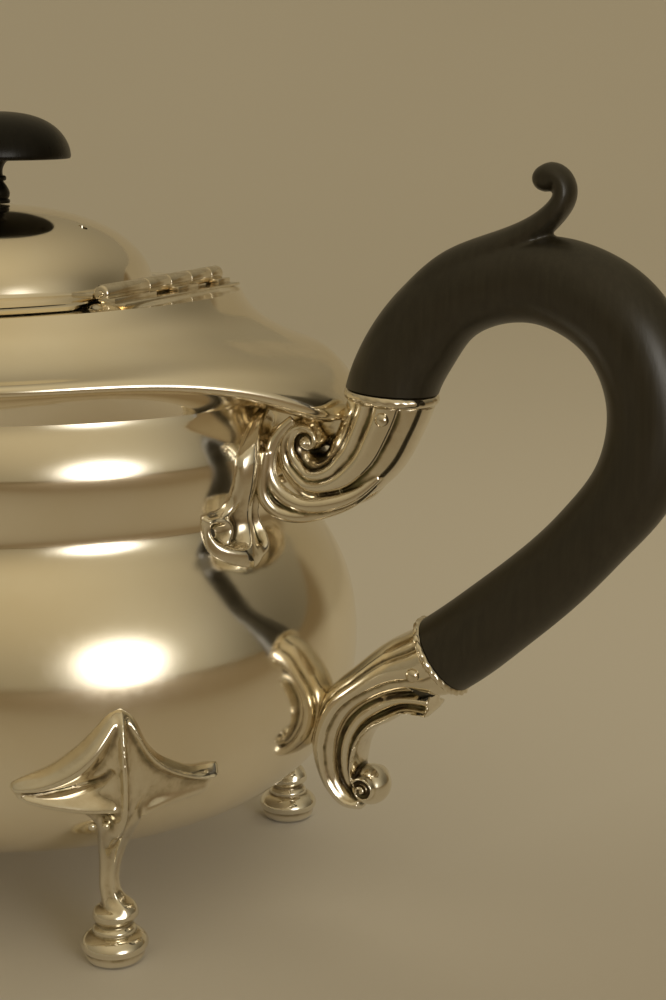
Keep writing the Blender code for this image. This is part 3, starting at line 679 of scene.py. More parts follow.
# ------------------------------------------------------------------- finial
knob = np.vstack([
    through([(0.0, 152.0), (4.0, 151.88), (7.6, 151.35), (10.6, 150.3), (13.0, 148.7),
             (14.7, 146.5), (15.45, 144.4), (15.55, 143.35)], 48, start=np.array([1.0, 0.0])),
    through([(15.55, 143.35), (15.40, 143.0), (15.0, 142.88), (11.0, 142.98),
             (6.0, 143.12)], 24), [(1.7, 143.12), (1.7, 147.4), (0.0, 147.4)]])
place("finial_cap", lathe("knob", knob, 128), "lid", ["finial_knob"],
      KNOB_EBONY, 50)
stem = np.vstack([
    through([(3.6, 142.75), (2.9, 142.2), (2.35, 141.3), (2.15, 140.3), (2.2, 139.75)], 20),
    through([(2.2, 139.7), (2.75, 139.5), (2.85, 139.15), (2.75, 138.8), (2.25, 138.6)], 14),
    through([(2.25, 138.55), (2.7, 137.9), (3.25, 136.9), (3.4, 136.0), (3.2, 135.4),
             (3.05, 135.2)], 20),
    through([(3.05, 135.15), (3.35, 134.95), (3.4, 134.6), (3.3, 134.3)], 8),
    [(1.7, 134.3), (1.7, 142.75)]])
place("finial_stem_turning", lathe("stem", stem, 64), "lid", ["finial_stem"],
      KNOB_EBONY, 35)
stud = lathe("stud", [(0, 147.1), (1.15, 147.1), (1.35, 146.8), (1.35, 129.0), (1.1, 128.7),
                      (0, 128.7)], 32)
place("finial_screw", stud, "lid", ["finial_stud"], INNER, 40)
washer = lathe("washer", [(4.5, 132.5), (4.6, 132.35), (4.6, 131.85), (4.5, 131.7),
                          (1.7, 131.7), (1.7, 132.5)], 64)
place("finial_washer_disc", washer, "lid", ["finial_washer"], INNER, 40)
nut = lathe("nut", [(2.9, 131.3), (3.4, 130.9), (3.4, 129.3), (2.9, 128.9), (1.65, 128.9),
                    (1.65, 131.3)], 6)
bore = lathe("bore", [(0, 136), (1.65, 136), (1.65, 124), (0, 124)], 32)
nut = lathe("nut", [(0, 131.3), (2.9, 131.3), (3.4, 130.9), (3.4, 129.3), (2.9, 128.9),
                    (0, 128.9)], 6)
place("finial_hex_nut", cut("nut", nut, [bore]), "lid", ["finial_nut"],
      INNER, 30)

# ------------------------------------------------------------------- handle
GRIP = [(84.2, 100.0, 8.4), (85.0, 103.0, 8.35), (86.3, 106.4, 8.25), (89.7, 112.2, 8.1),
        (94.8, 118.2, 7.6), (101.2, 121.9, 7.5), (108.0, 123.3, 7.4), (114.2, 123.3, 7.8),
        (120.5, 121.4, 8.15), (126.6, 117.3, 8.35), (131.1, 110.4, 8.15),
        (133.1, 102.0, 7.95), (132.4, 94.4, 7.75), (129.4, 87.2, 7.3), (124.2, 80.3, 6.95),
        (120.0, 75.4, 6.95), (115.6, 70.8, 7.1), (106.1, 62.2, 7.4), (98.6, 55.9, 7.6),
        (95.9, 53.9, 7.6), (93.4, 52.1, 7.6)]
THUMB = [(91.0, 119.3, 4.3, 6.0), (96.5, 124.4, 3.9, 6.0), (101.5, 127.3, 3.3, 5.6),
         (106.8, 129.7, 2.8, 5.0), (111.3, 132.2, 2.4, 4.4), (114.9, 135.3, 2.1, 3.9),
         (116.5, 138.5, 1.9, 3.6), (115.6, 140.9, 1.9, 3.5), (113.6, 141.4, 2.2, 3.6),
         (112.6, 140.7, 2.0, 3.4)]
UP_AXIS, UP_END = (0.26, 0.966), (84.9, 102.6)
LOW_AXIS, LOW_END = (-0.82, -0.572), (95.9, 53.9)
UP_RING = (0.07, 0.9975)          # the upper ring is seated a little off square
TENON_R, TENON_LEN = 5.5, 7.5


def bar(pts):
    return [(q[0], 0.0, *q[1:]) for q in pts]


def rod(name, a, b, r, steps=48):
    """Plain round rod between two points."""
    a, b = Vector(a), Vector(b)
    h = (b - a).length
    return lathe(name, [(0, h), (r, h), (r, 0), (0, 0)], steps, axis=(b - a), centre=a)


def along(end, axis, s):
    return (end[0] + axis[0] * s, 0.0, end[1] + axis[1] * s)


grip = remeshed("grip", [
    tube("bar", bar(GRIP), 220, 96),
    tube("thumb", bar(THUMB), 120, 48),
    ball("bulb", (113.1, 0, 140.9), 2.35, (1.05, 1.5, 1.0))], 0.42, 4)


def end_block(end, axis, side, off=0.0):
    """Block that trims a bar square to an axis at its end."""
    b = block("trim", (-16, -16, -14 if side < 0 else off), (16, 16, off if side < 0 else 14))
    b.transform(Matrix.Translation((end[0], 0, end[1])) @ Vector((0, 0, 1)).rotation_difference(
        Vector((axis[0], 0, axis[1]))).to_matrix().to_4x4())
    return b


grip = cut("grip", grip, [end_block(UP_END, UP_RING, -1, 0.02),
                          end_block(LOW_END, LOW_AXIS, 1, -0.02)], solver='MANIFOLD')
bores = [rod("bore", (85.9, -14, 98.2), (85.9, 14, 98.2), 1.4),
         rod("bore", (*along(LOW_END, LOW_AXIS, 4.6)[:1], -14, along(LOW_END, LOW_AXIS, 4.6)[2]),
             (*along(LOW_END, LOW_AXIS, 4.6)[:1], 14, along(LOW_END, LOW_AXIS, 4.6)[2]), 1.4)]
tenons = [rod("tenon", along(UP_END, UP_AXIS, 1.5), along(UP_END, UP_AXIS, -TENON_LEN), TENON_R),
          rod("tenon", along(LOW_END, LOW_AXIS, -1.5), along(LOW_END, LOW_AXIS, TENON_LEN),
              TENON_R)]
grip = joined("grip", [grip] + [cut("tenon", t, [b]) for t, b in zip(tenons, bores)])
place("handle_bar", grip, "pot", ["handle_grip"], EBONY, 60)


# ------------------------------------------------------- cast fluted sockets
def reeded(name, rows, n, reeds, depth=0.9, around=132, close=True):
    """Flat bar swept along rows of (outer x, z, inner x, z, half thickness Y).
    Its faces carry convex reeds between the angles given, which are measured
    round the section from its outer edge."""
    s = through(rows, n, 4)
    O, I, W = s[:, 0:2], s[:, 2:4], s[:, 4]
    c, e = (O + I) / 2, (O - I)
    a = np.linalg.norm(e, axis=1) / 2
    e = e / (2 * a[:, None])
    th = np.linspace(-180, 180, around, endpoint=False) + 0.01
    bump = np.zeros(around)
    edges = [-180.0] + sorted([-r for r in reeds]) + sorted(reeds) + [180.0]
    for k, x in enumerate(np.abs(th)):
        b = [0.0] + sorted(reeds) + [180.0]
        for lo, hi in zip(b[:-1], b[1:]):
            if lo <= x <= hi:
                if lo == 0.0:
                    lo = -hi
                if hi == 180.0:
                    hi = 360.0 - lo
                u = (x - (lo + hi) / 2) / ((hi - lo) / 2)
                bump[k] = math.sqrt(max(0.0, 1 - u * u)) - 1.0
    rad = np.radians(th)
    P = np.zeros((n, around, 3))
    for i in range(n):
        d = min(depth, 0.28 * a[i])
        px, py = a[i] * np.cos(rad), W[i] * np.sin(rad)
        nx, ny = np.cos(rad) / a[i], np.sin(rad) / W[i]
        L = np.hypot(nx, ny)
        px, py = px + nx / L * bump * d, py + ny / L * bump * d
        P[i, :, 0] = c[i, 0] + e[i, 0] * px
        P[i, :, 2] = c[i, 1] + e[i, 1] * px
        P[i, :, 1] = py
    return grid(name, P, wrap_v=True, cap_u=(close, close))


EYE = (70.7, 92.7)
_turn = Spline([110, 135, 160, 180, 215, 250, 270, 310, 360, 450, 540, 720, 900],
               [11.6, 10.0, 8.6, 7.9, 6.4, 5.1, 4.5, 3.5, 2.6, 1.5, 0.9, 0.45, 0.3])
up_rows = [(93.4, 102.2, 76.9, 103.3, 8.0), (92.9, 100.0, 76.6, 101.0, 7.9), (91.9, 97.2, 75.9, 98.4, 7.7),
           (90.0, 93.2, 75.0, 96.0, 7.6), (87.6, 88.9, 74.3, 94.2, 7.5),
           (84.2, 85.1, 73.6, 92.8, 7.5), (79.6, 82.0, 72.8, 91.2, 7.4),
           (74.5, 80.3, 71.6, 90.2, 7.3), (70.0, 80.2, 70.5, 90.4, 7.2)]
for d in (115, 135, 160, 185, 215, 245, 275, 310, 350, 400, 450):
    ro, ri = float(_turn(d)[0]), float(_turn(d + 360)[0])
    c, s = math.cos(math.radians(-d)), math.sin(math.radians(-d))
    up_rows.append((EYE[0] + ro * c, EYE[1] + ro * s, EYE[0] + ri * c, EYE[1] + ri * s,
                    7.0 + 0.5 * max(0, d - 200) / 250))
horn = reeded("horn", up_rows, 420, [57.0, 97.0, 127.0], 1.25)
# two reeds leave the bottom of the horn on each face and lie round the volute
flares = []
for sy in (-1, 1):
    for path in ([(84.0, 4.0, 87.0, 0.7), (79.5, 5.4, 83.4, 1.2), (75.0, 6.9, 81.8, 1.45),
                  (70.3, 8.0, 81.5, 1.5), (66.6, 8.8, 83.4, 1.5), (64.6, 9.3, 86.6, 1.4),
                  (64.6, 9.2, 90.4, 1.25), (65.9, 8.7, 94.2, 1.1), (68.6, 7.8, 97.2, 0.9)],
                 [(83.0, 2.6, 85.4, 0.6), (79.0, 4.0, 82.0, 1.0), (74.5, 5.9, 80.1, 1.2),
                  (69.6, 7.8, 79.2, 1.3), (65.3, 9.3, 80.4, 1.3), (63.4, 10.2, 83.6, 1.25),
                  (63.6, 10.4, 87.6, 1.1), (64.2, 10.2, 91.4, 0.9)]):
        flares.append(tube("reed", [(x, y * sy, z, r) for x, y, z, r in path], 110, 28))
upper = remeshed("upper_socket", [
    horn, *flares, ball("eye", (EYE[0] - 0.2, 0, EYE[1] + 0.1), 2.0, (1, 4.15, 1)),
    rod("core", (78, 0, 90), (84.0, 0, 98.5), 4.0)], 0.27, 2)
up_mid = along(UP_END, UP_RING, -2.2)
up_trim = [block("trim", (-14, -14, -0.12), (14, 14, 12), 0)]
up_trim[0].transform(Matrix.Translation(up_mid) @ Vector((0, 0, 1)).rotation_difference(
    Vector((UP_RING[0], 0, UP_RING[1]))).to_matrix().to_4x4())
pocket = rod("pocket", along(UP_END, UP_AXIS, 5), along(UP_END, UP_AXIS, -7.8), 5.8)
upper = cut("upper_socket", upper, [envelope, up_trim[0], pocket,
                                    rod("bore", (85.9, -14, 98.2), (85.9, 14, 98.2), 1.15)],
            solver='MANIFOLD')
place("upper_socket_casting", upper, "pot", ["upper_socket"], CAST, 0,
      (5, 5.0))

full = [(89.4, 57.9, 101.3, 39.9, 7.3), (85.2, 55.4, 95.8, 41.0, 7.2),
        (81.6, 52.6, 90.8, 41.3, 7.0), (77.5, 48.9, 87.1, 40.7, 6.8),
        (73.3, 45.0, 83.6, 38.6, 6.4), (70.3, 39.6, 81.2, 36.0, 6.0),
        (69.3, 35.0, 80.0, 33.4, 5.7), (69.6, 31.2, 79.4, 30.5, 5.4),
        (70.8, 27.0, 79.2, 28.6, 5.0), (72.9, 23.6, 79.3, 27.4, 4.6),
        (76.1, 21.0, 79.6, 26.6, 4.2), (79.6, 20.9, 80.2, 26.2, 3.8)]


def strand(rows, v0, v1, w=1.0, dw=0.0):
    """The part of a band between the fractions v0 and v1 of its width."""
    out = []
    for ox, oz, ix, iz, y in rows:
        out.append((ix + (ox - ix) * v1, iz + (oz - iz) * v1,
                    ix + (ox - ix) * v0, iz + (oz - iz) * v0, y * w + dw))
    return out


main = reeded("main", strand([(91.9, 59.65, 103.8, 41.65, 7.35)] + full, 0.36, 1.0), 310, [52.0, 108.0], 1.0)
leaf_rows = [(93.8, 45.2, 93.9, 42.2, 5.6)] + [
    (q[0], q[1], q[2], q[3], q[4] * 0.86) for q in strand(full[2:], 0.0, 0.34)]
leaf_rows[1] = (88.0, 45.0, 89.0, 42.2, 5.9)
low_reed = reeded("low_reed", [
    (r[0] * 0.5 + r[2] * 0.5, r[1] * 0.5 + r[3] * 0.5, r[2], r[3], r[4] + 0.3)
    for r in leaf_rows], 260, [70.0, 110.0], 0.25, 72)
channel = reeded("channel", [
    (r[0] + (r[0] - r[2]) * 0.35, r[1] + (r[1] - r[3]) * 0.35,
     r[0] * 0.35 + r[2] * 0.65, r[1] * 0.35 + r[3] * 0.65, r[4] * 0.66)
    for r in leaf_rows], 260, [90.0], 0.1, 48)
spiral = []
for k in range(40):
    a = math.radians(150 - k * 13)
    r = 2.5 - 2.0 * k / 39
    spiral.append((81.0 + r * math.cos(a), 26.0 + r * math.sin(a), 0.62 - 0.2 * k / 39,
                   4.7 + 0.9 * k / 39))
lower = remeshed("lower_socket", [
    main, low_reed, channel, ball("ball_end", (81.1, 0, 26.0), 3.9, (1, 1.12, 1)),
    tube("spiral", bar(spiral), 160, 20), ball("bud", (81.0, 0, 26.0), 1.0, (1, 5.6, 1)),
    rod("core", (94.0, 0, 52.6), (84, 0, 46), 4.0)], 0.26, 2)
low_mid = along(LOW_END, LOW_AXIS, 1.7)
low_trim = block("trim", (-14, -14, -0.12), (14, 14, 12), 0)
low_trim.transform(Matrix.Translation(low_mid) @ Vector((0, 0, 1)).rotation_difference(
    Vector((-LOW_AXIS[0], 0, -LOW_AXIS[1]))).to_matrix().to_4x4())
low_pin = along(LOW_END, LOW_AXIS, 4.6)
lower = cut("lower_socket", lower, [
    envelope, low_trim, rod("pocket", along(LOW_END, LOW_AXIS, -5),
                            along(LOW_END, LOW_AXIS, 7.8), 5.8),
    rod("bore", (low_pin[0], -14, low_pin[2]), (low_pin[0], 14, low_pin[2]), 1.15)],
    solver='MANIFOLD')
place("lower_socket_casting", lower, "pot", ["lower_socket"], CAST, 0,
      (5, 5.0))


def ferrule(name, r, t, end, axis, sign, rope=0.0):
    """Ring round the tenon: a smooth bead, or one milled like rope."""
    h = t / 2 - 0.02
    n, m = 216, 26
    P = np.zeros((m + 2, n, 3))
    for j in range(n):
        a = 2 * math.pi * j / n
        for i in range(m):
            b = -math.pi / 2 + math.pi * i / (m - 1)
            wob = rope * math.sin(26 * a + 2.4 * b) + 0.35 * rope * math.sin(9 * a + 1.3)
            rr = r - 1.5 + (1.5 + wob * math.cos(b)) * math.cos(b) ** 0.8
            P[i, j] = (rr * math.cos(a), rr * math.sin(a), h * math.sin(b))
        for i, z in ((m, h), (m + 1, -h)):
            P[i, j] = (5.75 * math.cos(a), 5.75 * math.sin(a), z)
    me = grid(name, P, wrap_u=True, wrap_v=True)
    d = Vector((axis[0], 0, axis[1])) * -sign
    me.transform(Matrix.Translation(along(end, axis, sign * t / 2))
                 @ Vector((0, 0, 1)).rotation_difference(d).to_matrix().to_4x4())
    return me


place("upper_bead_ring", ferrule("ring", 8.75, 2.2, UP_END, UP_RING, -1, 0.04), "pot",
      ["upper_ferrule"], CAST, 50, (2, 3.0))
place("lower_rope_ring", ferrule("ring", 8.15, 1.7, LOW_END, LOW_AXIS, 1, 0.13), "pot",
      ["lower_ferrule"], CAST, 60, (2, 4.0))


def rivet(name, x, z, half, node):
    prof = through([(0, half + 0.75), (0.5, half + 0.68), (1.0, half + 0.42),
                    (1.22, half + 0.1), (1.2, half - 0.12)], 20)
    prof = [(max(0.0, float(a)), float(b)) for a, b in prof]
    prof[0] = (0.0, prof[0][1])
    me = lathe(name, prof + [(1.1, half - 0.3), (1.1, -half + 0.3)]
               + [(a, -b) for a, b in prof[::-1]], 32)
    me.transform(Matrix.Rotation(-math.pi / 2, 4, 'X'))
    me.transform(Matrix.Translation((x, 0, z)))
    place(name, me, "pot", [node], CAST, 50)


rivet("upper_pin_head", 85.9, 98.2, 7.9, "upper_rivet")
rivet("lower_pin_head", low_pin[0], low_pin[2], 7.5, "lower_rivet")


# --------------------------------------------------- reliefs laid on the body
def edge_distance(q, poly):
    """Distance of points from a closed outline, positive inside."""
    a, b = poly, np.roll(poly, -1, 0)
    d = b - a
    best = np.full(len(q), 1e9)
    inside = np.zeros(len(q), bool)
    for (ax, ay), (dx, dy) in zip(a, d):
        L = dx * dx + dy * dy + 1e-12
        u = np.clip(((q[:, 0] - ax) * dx + (q[:, 1] - ay) * dy) / L, 0, 1)
        best = np.minimum(best, np.hypot(q[:, 0] - ax - u * dx, q[:, 1] - ay - u * dy))
        by = ay + dy
        hit = ((ay > q[:, 1]) != (by > q[:, 1])) & (
            q[:, 0] < ax + dx * (q[:, 1] - ay) / (dy if abs(dy) > 1e-12 else 1e-12))
        inside ^= hit
    return np.where(inside, best, -best)


def line_field(q, line):
    """Nearest point on an open (x, y, height, width) line: distance, height, width."""
    best = np.full(len(q), 1e9)
    h, w = np.zeros(len(q)), np.ones(len(q))
    for a, b in zip(line[:-1], line[1:]):
        d = b[:2] - a[:2]
        u = np.clip(((q - a[:2]) @ d) / (d @ d + 1e-12), 0, 1)
        r = np.linalg.norm(q - (a[:2] + u[:, None] * d), axis=1)
        m = r < best
        best[m] = r[m]
        h[m] = (a[2] + u * (b[2] - a[2]))[m]
        w[m] = (a[3] + u * (b[3] - a[3]))[m]
    return best, h, w


def relief(name, t0, outline, crests, dents, base, lip, step=0.22, span_s=1.0, back=-2.2):
    """Solid relief over the body.  Everything is drawn in (s, z) millimetres,
    s being the distance round the body from the plan parameter t0 (degrees)."""
    poly = through(outline + [outline[0]], 260)[:-1]
    lo, hi = poly.min(0) - 1.0, poly.max(0) + 1.0
    ns, nz = int((hi[0] - lo[0]) / step), int((hi[1] - lo[1]) / step)
    S, Z = np.meshgrid(np.linspace(lo[0], hi[0], ns), np.linspace(lo[1], hi[1], nz))
    q = np.stack([S.ravel(), Z.ravel()], 1)
    d = edge_distance(q, poly)
    total = np.zeros(len(q))
    for c in crests:
        r, h, w = line_field(q, through(c, 40, 2))
        total = total + np.maximum(h * np.exp(-(np.abs(r) / w) ** 1.7), 0) ** 3
    H = base + total ** (1 / 3.0)
    for c in dents:
        r, h, w = line_field(q, through(c, 40, 2) if len(c) > 2 else np.array(c, float))
        H = H - h * np.exp(-(r / w) ** 2)
    e = np.clip(d / lip, 0, 1)
    H = np.where(d > 0, -0.4 + (H + 0.4) * np.sqrt(np.clip(1 - (1 - e) ** 2, 0, 1)), -0.6)
    t0 = math.radians(t0)
    k = body_a(q[:, 1]) * np.sqrt(math.sin(t0) ** 2 + math.cos(t0) ** 2 / OVAL ** 2)
    t = t0 + q[:, 0] / k
    top = on_body(t, q[:, 1], H)
    low = on_body(t, q[:, 1], np.full(len(q), back))
    n = len(q)
    faces = []
    for i in range(nz - 1):
        for j in range(ns - 1):
            a = i * ns + j
            faces.append((a, a + 1, a + ns + 1, a + ns))
            faces.append((n + a, n + a + ns, n + a + ns + 1, n + a + 1))
    for i in range(nz - 1):
        a, b = i * ns, (i + 1) * ns
        faces.append((a, b, n + b, n + a))
        a, b = a + ns - 1, b + ns - 1
        faces.append((a, n + a, n + b, b))
    for j in range(ns - 1):
        a, b = j, j + 1
        faces.append((a, n + a, n + b, b))
        a, b = (nz - 1) * ns + j, (nz - 1) * ns + j + 1
        faces.append((a, b, n + b, n + a))
    me = mesh_from(name, np.vstack([top, low]), faces)
    bm = bmesh.new()
    bm.from_mesh(me)
    bmesh.ops.recalc_face_normals(bm, faces=bm.faces)
    bm.to_mesh(me)
    bm.free()
    return me


def mirrored(me, sx, sy):
    """Copy mirrored across the pot's planes."""
    out = me.copy()
    if sx < 0 or sy < 0:
        out.transform(Matrix.Diagonal((sx, sy, 1, 1)))
        if sx * sy < 0:
            out.flip_normals()
    return out


def from_axis(rows, t0):
    """(t degrees, z, ...) rows to (s, z, ...) about t0, near side negative."""
    out = []
    for t, z, *rest in rows:
        k = body_a(z) * math.hypot(math.sin(math.radians(t0)),
                                   math.cos(math.radians(t0)) / OVAL)
        out.append((math.radians(t - t0) * float(k), z, *rest))
    return out


# pierced C-shaped leaf from the collar down to a shield beside the volute
T_LEAF = -15.0
leaf_out = from_axis([
    (-3.9, 98.8), (-9.9, 96.6), (-14.1, 93.5), (-16.3, 91.2), (-16.8, 88.2), (-17.1, 84.6),
    (-17.9, 82.2), (-20.7, 81.0), (-23.2, 80.6), (-23.3, 78.8), (-23.2, 76.4),
    (-22.6, 74.0), (-19.7, 72.0), (-16.8, 70.9), (-14.6, 70.5), (-12.5, 71.0),
    (-10.0, 72.0), (-8.6, 72.5), (-7.6, 74.8), (-7.9, 77.0), (-8.6, 80.0), (-8.8, 83.0),
    (-8.7, 86.0), (-7.8, 89.2), (-5.0, 93.6), (-1.6, 96.5)], T_LEAF)
leaf = relief("leaf", T_LEAF, leaf_out, [
    from_axis([(-4.6, 98.4, 1.24, 1.79), (-9.6, 95.8, 1.36, 2.13), (-12.6, 92.8, 1.49, 2.35),
               (-13.9, 89.5, 1.55, 2.46), (-14.1, 86, 1.55, 2.46), (-14, 83, 1.61, 2.46),
               (-13.7, 80.3, 1.74, 2.58), (-13.5, 77.6, 1.86, 2.58), (-13.9, 75, 1.92, 2.35),
               (-15.2, 73.2, 1.80, 2.02), (-17.6, 72.9, 1.49, 1.68), (-20.3, 74, 1.18, 1.34),
               (-22, 76.2, 0.99, 1.12), (-22.5, 78.6, 0.99, 1.01), (-22.2, 80.2, 1.05, 1.01)],
              T_LEAF),
    from_axis([(-21.5, 80.2, 1.12, 1.12), (-19.3, 80, 1.49, 1.34), (-17.9, 78.6, 1.67, 1.46),
               (-17.8, 76.8, 1.55, 1.34), (-18.8, 75.3, 1.30, 1.12)], T_LEAF),
    from_axis([(-16, 91, 0.81, 1.12), (-16.5, 87.5, 0.93, 1.23), (-16.7, 84.3, 1.05, 1.34),
               (-17.6, 82, 1.18, 1.34), (-20.4, 80.8, 1.12, 1.12), (-22.6, 80.3, 0.87, 0.90)],
              T_LEAF),
    from_axis([(-6.6, 91.5, 0.74, 1.01), (-8.3, 87.5, 0.93, 1.01), (-9.2, 84, 1.05, 1.01),
               (-9.3, 80.5, 1.12, 1.01), (-9, 77.5, 1.18, 1.01), (-8.9, 75, 1.24, 1.01),
               (-9.6, 73, 1.12, 1.01)], T_LEAF)],
    [from_axis([(-10.9, 88.5, 0.35, 0.45), (-11.3, 84.5, 0.56, 0.5), (-11.1, 80.5, 0.63, 0.5),
                (-10.7, 77.0, 0.63, 0.5), (-10.5, 74.2, 0.42, 0.5)], T_LEAF),
     from_axis([(-20.7, 78.4, 0.63, 1.0), (-20.8, 77.5, 1.05, 0.9), (-20.5, 76.4, 0.63, 1.0)],
               T_LEAF)],
    0.55, 1.5)
leaf = cut("leaf", remeshed("leaf", [leaf], 0.2, 14), [envelope], solver='MANIFOLD')
place("leaf_beside_volute", leaf, "pot", ["socket_leaf"], CAST, 0,
      (5, 5.0))

# feet: winged knee on the body, fluted leg, ankle ring and turned pad
FX, FY = 45.8, -37.4
T_KNEE = -43.2
knee_out = [(-0.5, 51.4), (1.3, 50.0), (3.9, 45.0), (6.8, 41.6), (10.4, 39.4), (15.4, 37.9),
            (18.6, 37.8), (18.0, 36.4), (17.6, 34.4), (16.4, 32.4), (9.3, 31.4),
            (3.8, 30.4), (2.2, 28.6), (1.7, 26.0), (0.6, 24.6), (-2.2, 24.8),
            (-3.8, 28.4), (-5.8, 31.0), (-10.5, 32.6), (-16.0, 34.8), (-18.6, 36.8),
            (-19.3, 38.4), (-17.5, 39.8), (-13.5, 41.3), (-10.3, 43.4), (-7.4, 45.8),
            (-4.4, 49.0), (-2.2, 50.9)]
knee = relief("knee", T_KNEE, knee_out, [
    # broad prow with a sharp line down the middle
    [(-0.5, 50.8, 0.8, 1.2), (-0.8, 48.4, 1.8, 1.9), (-0.8, 45.0, 2.7, 2.6),
     (-0.6, 41.0, 3.6, 3.2), (-0.4, 37.0, 4.1, 3.7), (-0.4, 33.5, 4.0, 3.7),
     (-0.8, 30.0, 3.6, 3.2), (-1.2, 26.0, 2.8, 2.2)],
    [(-0.5, 50.8, 0.9, 0.7), (-0.8, 48.4, 2.1, 0.8), (-0.9, 45.0, 3.1, 0.8),
     (-0.8, 41.0, 4.0, 0.9), (-0.6, 37.0, 4.5, 0.9), (-0.5, 33.5, 4.3, 1.1),
     (-0.9, 30.0, 3.4, 1.4)],
    # full lobe over the left wing and the roll below it
    [(-2.2, 49.2, 1.6, 1.3), (-5.0, 45.4, 2.8, 2.3), (-8.6, 41.9, 3.2, 2.5),
     (-12.6, 39.8, 2.7, 2.1), (-16.4, 38.6, 1.9, 1.5), (-18.4, 38.2, 1.2, 1.0)],
    [(-17.6, 36.6, 1.3, 1.0), (-13.5, 35.7, 2.1, 1.3), (-9.0, 35.0, 2.8, 1.6),
     (-5.0, 34.8, 3.5, 1.7), (-2.4, 35.2, 4.0, 1.6)],
    # hollow right wing with a thin raised edge
    [(0.9, 49.4, 1.4, 1.0), (3.4, 44.6, 2.3, 1.0), (6.3, 41.1, 2.5, 1.0),
     (10.3, 38.7, 2.4, 0.95), (15.2, 37.0, 2.2, 0.9), (17.9, 36.9, 2.0, 0.8)],
    [(16.0, 33.6, 0.9, 1.0), (9.3, 32.9, 1.4, 1.4), (4.0, 32.4, 2.6, 2.0)]],
    [[(-16.6, 37.5, 0.4, 0.5), (-12.0, 37.5, 0.9, 0.7), (-8.0, 37.6, 1.2, 0.8),
      (-4.6, 38.6, 1.2, 0.8), (-2.7, 41.0, 0.7, 0.7)]],
    0.7, 1.5, 0.22)


def fluted_leg(rows, steps=96):
    """Leg of horizontal sections (z, x, y, radius, flute depth)."""
    s = through(rows, 110, 3)
    out = math.atan2(FY, FX)
    P = np.zeros((110, steps, 3))
    for i, (z, x, y, r, f) in enumerate(s):
        for j in range(steps):
            a = 2 * math.pi * j / steps
            face = max(0.0, math.cos(a - out))
            k = 1 + f * face * (abs(math.sin(2.5 * (a - out))) ** 0.7 * -1.0 + 0.45)
            P[i, j] = (x + r * k * math.cos(a), y + r * k * math.sin(a), z)
    return grid("leg", P, wrap_v=True, cap_u=(True, True))


leg = fluted_leg([
    (33.0, 50.4, -42.6, 4.2, 0.0), (29.6, 50.0, -42.2, 4.1, 0.14),
    (27.0, 48.9, -41.0, 3.45, 0.24), (24.0, 47.4, -39.6, 2.8, 0.30),
    (20.5, 46.0, -38.2, 2.25, 0.30), (17.0, 45.2, -37.6, 1.88, 0.28),
    (14.0, 45.2, -37.6, 1.95, 0.26), (12.0, 45.8, -37.3, 2.35, 0.2),
    (10.6, 46.6, -37.0, 3.1, 0.08), (9.6, 46.9, -37.0, 3.3, 0.0)])
pad = lathe("pad", np.vstack([
    [(0.0, 10.6)],
    through([(2.6, 10.4), (3.5, 9.9), (3.95, 9.0), (3.8, 8.0), (3.3, 7.3)], 20),
    through([(3.25, 7.25), (3.35, 6.8), (3.9, 6.35), (4.05, 5.9), (3.85, 5.45)], 14),
    through([(3.95, 5.4), (4.9, 5.0), (5.8, 4.2), (6.2, 3.3), (6.1, 2.5), (5.5, 1.95)], 24),
    through([(5.45, 1.9), (5.55, 1.5), (5.45, 0.8), (4.9, 0.15), (4.6, 0.0)], 14),
    [(0.0, 0.0)]]), 96, centre=(FX, FY, 0))
ankle = ball("ankle", (FX + 0.75, FY + 0.35, 8.9), 3.75, (1, 1, 0.46))
beads = []
for s, z, r in ((-5.3, 32.2, 0.8), (-3.0, 32.0, 0.85), (-0.9, 31.8, 0.85)):
    k = body_a(z) * math.hypot(math.sin(math.radians(T_KNEE)),
                               math.cos(math.radians(T_KNEE)) / OVAL)
    p = on_body(np.array([math.radians(T_KNEE) + s / float(k)]), np.array([z]),
                np.array([4.1]))[0]
    beads.append(ball("bead", tuple(p), r))
foot = remeshed("foot", [knee, leg, pad, ankle] + beads, 0.24, 4)
foot = cut("foot", foot, [envelope], solver='MANIFOLD')
for name, sx, sy in (("handle_near", 1, 1), ("handle_far", 1, -1),
                     ("spout_near", -1, 1), ("spout_far", -1, -1)):
    place(f"winged_foot_{name}", mirrored(foot, sx, sy), "pot", [f"foot_{name}"],
          FOOT, 0, (5, 3.2))

# -------------------------------------------------------------------- spout
SPOUT = [(-60.0, 45.5, 14.0, 18.5), (-69.0, 47.0, 13.0, 17.0), (-76.5, 49.6, 11.4, 14.4),
         (-83.0, 54.0, 9.9, 11.8), (-88.2, 60.4, 8.9, 9.9), (-91.6, 68.2, 8.1, 8.8),
         (-93.8, 77.0, 7.5, 8.0), (-95.8, 86.0, 7.0, 7.4), (-98.6, 95.0, 6.5, 6.9),
         (-102.8, 103.2, 6.1, 6.5), (-108.4, 110.2, 5.8, 6.3), (-114.2, 115.6, 5.6, 6.3)]
line = through(SPOUT, 150, 2)
tang = np.gradient(line[:, :2], axis=0)
tang /= np.linalg.norm(tang, axis=1)[:, None]
n, steps = len(line), 120
outer, inner = np.zeros((n, steps, 3)), np.zeros((n, steps, 3))
for k in range(n):
    x, z, wy, wz = line[k]
    tx, tz = tang[k]
    lip = (k / (n - 1)) ** 6
    roll = 0.45 * math.exp(-((n - 1 - k) / 3.2) ** 2)
    for i in range(steps):
        u = 2 * math.pi * i / steps
        for arr, off in ((outer, roll), (inner, -0.85)):
            h = math.sin(u) * (wz + off)
            f = lip * h * 0.4
            arr[k, i] = (x - tz * h + tx * f, math.cos(u) * (wy + off), z + tx * h + tz * f)
rim = []
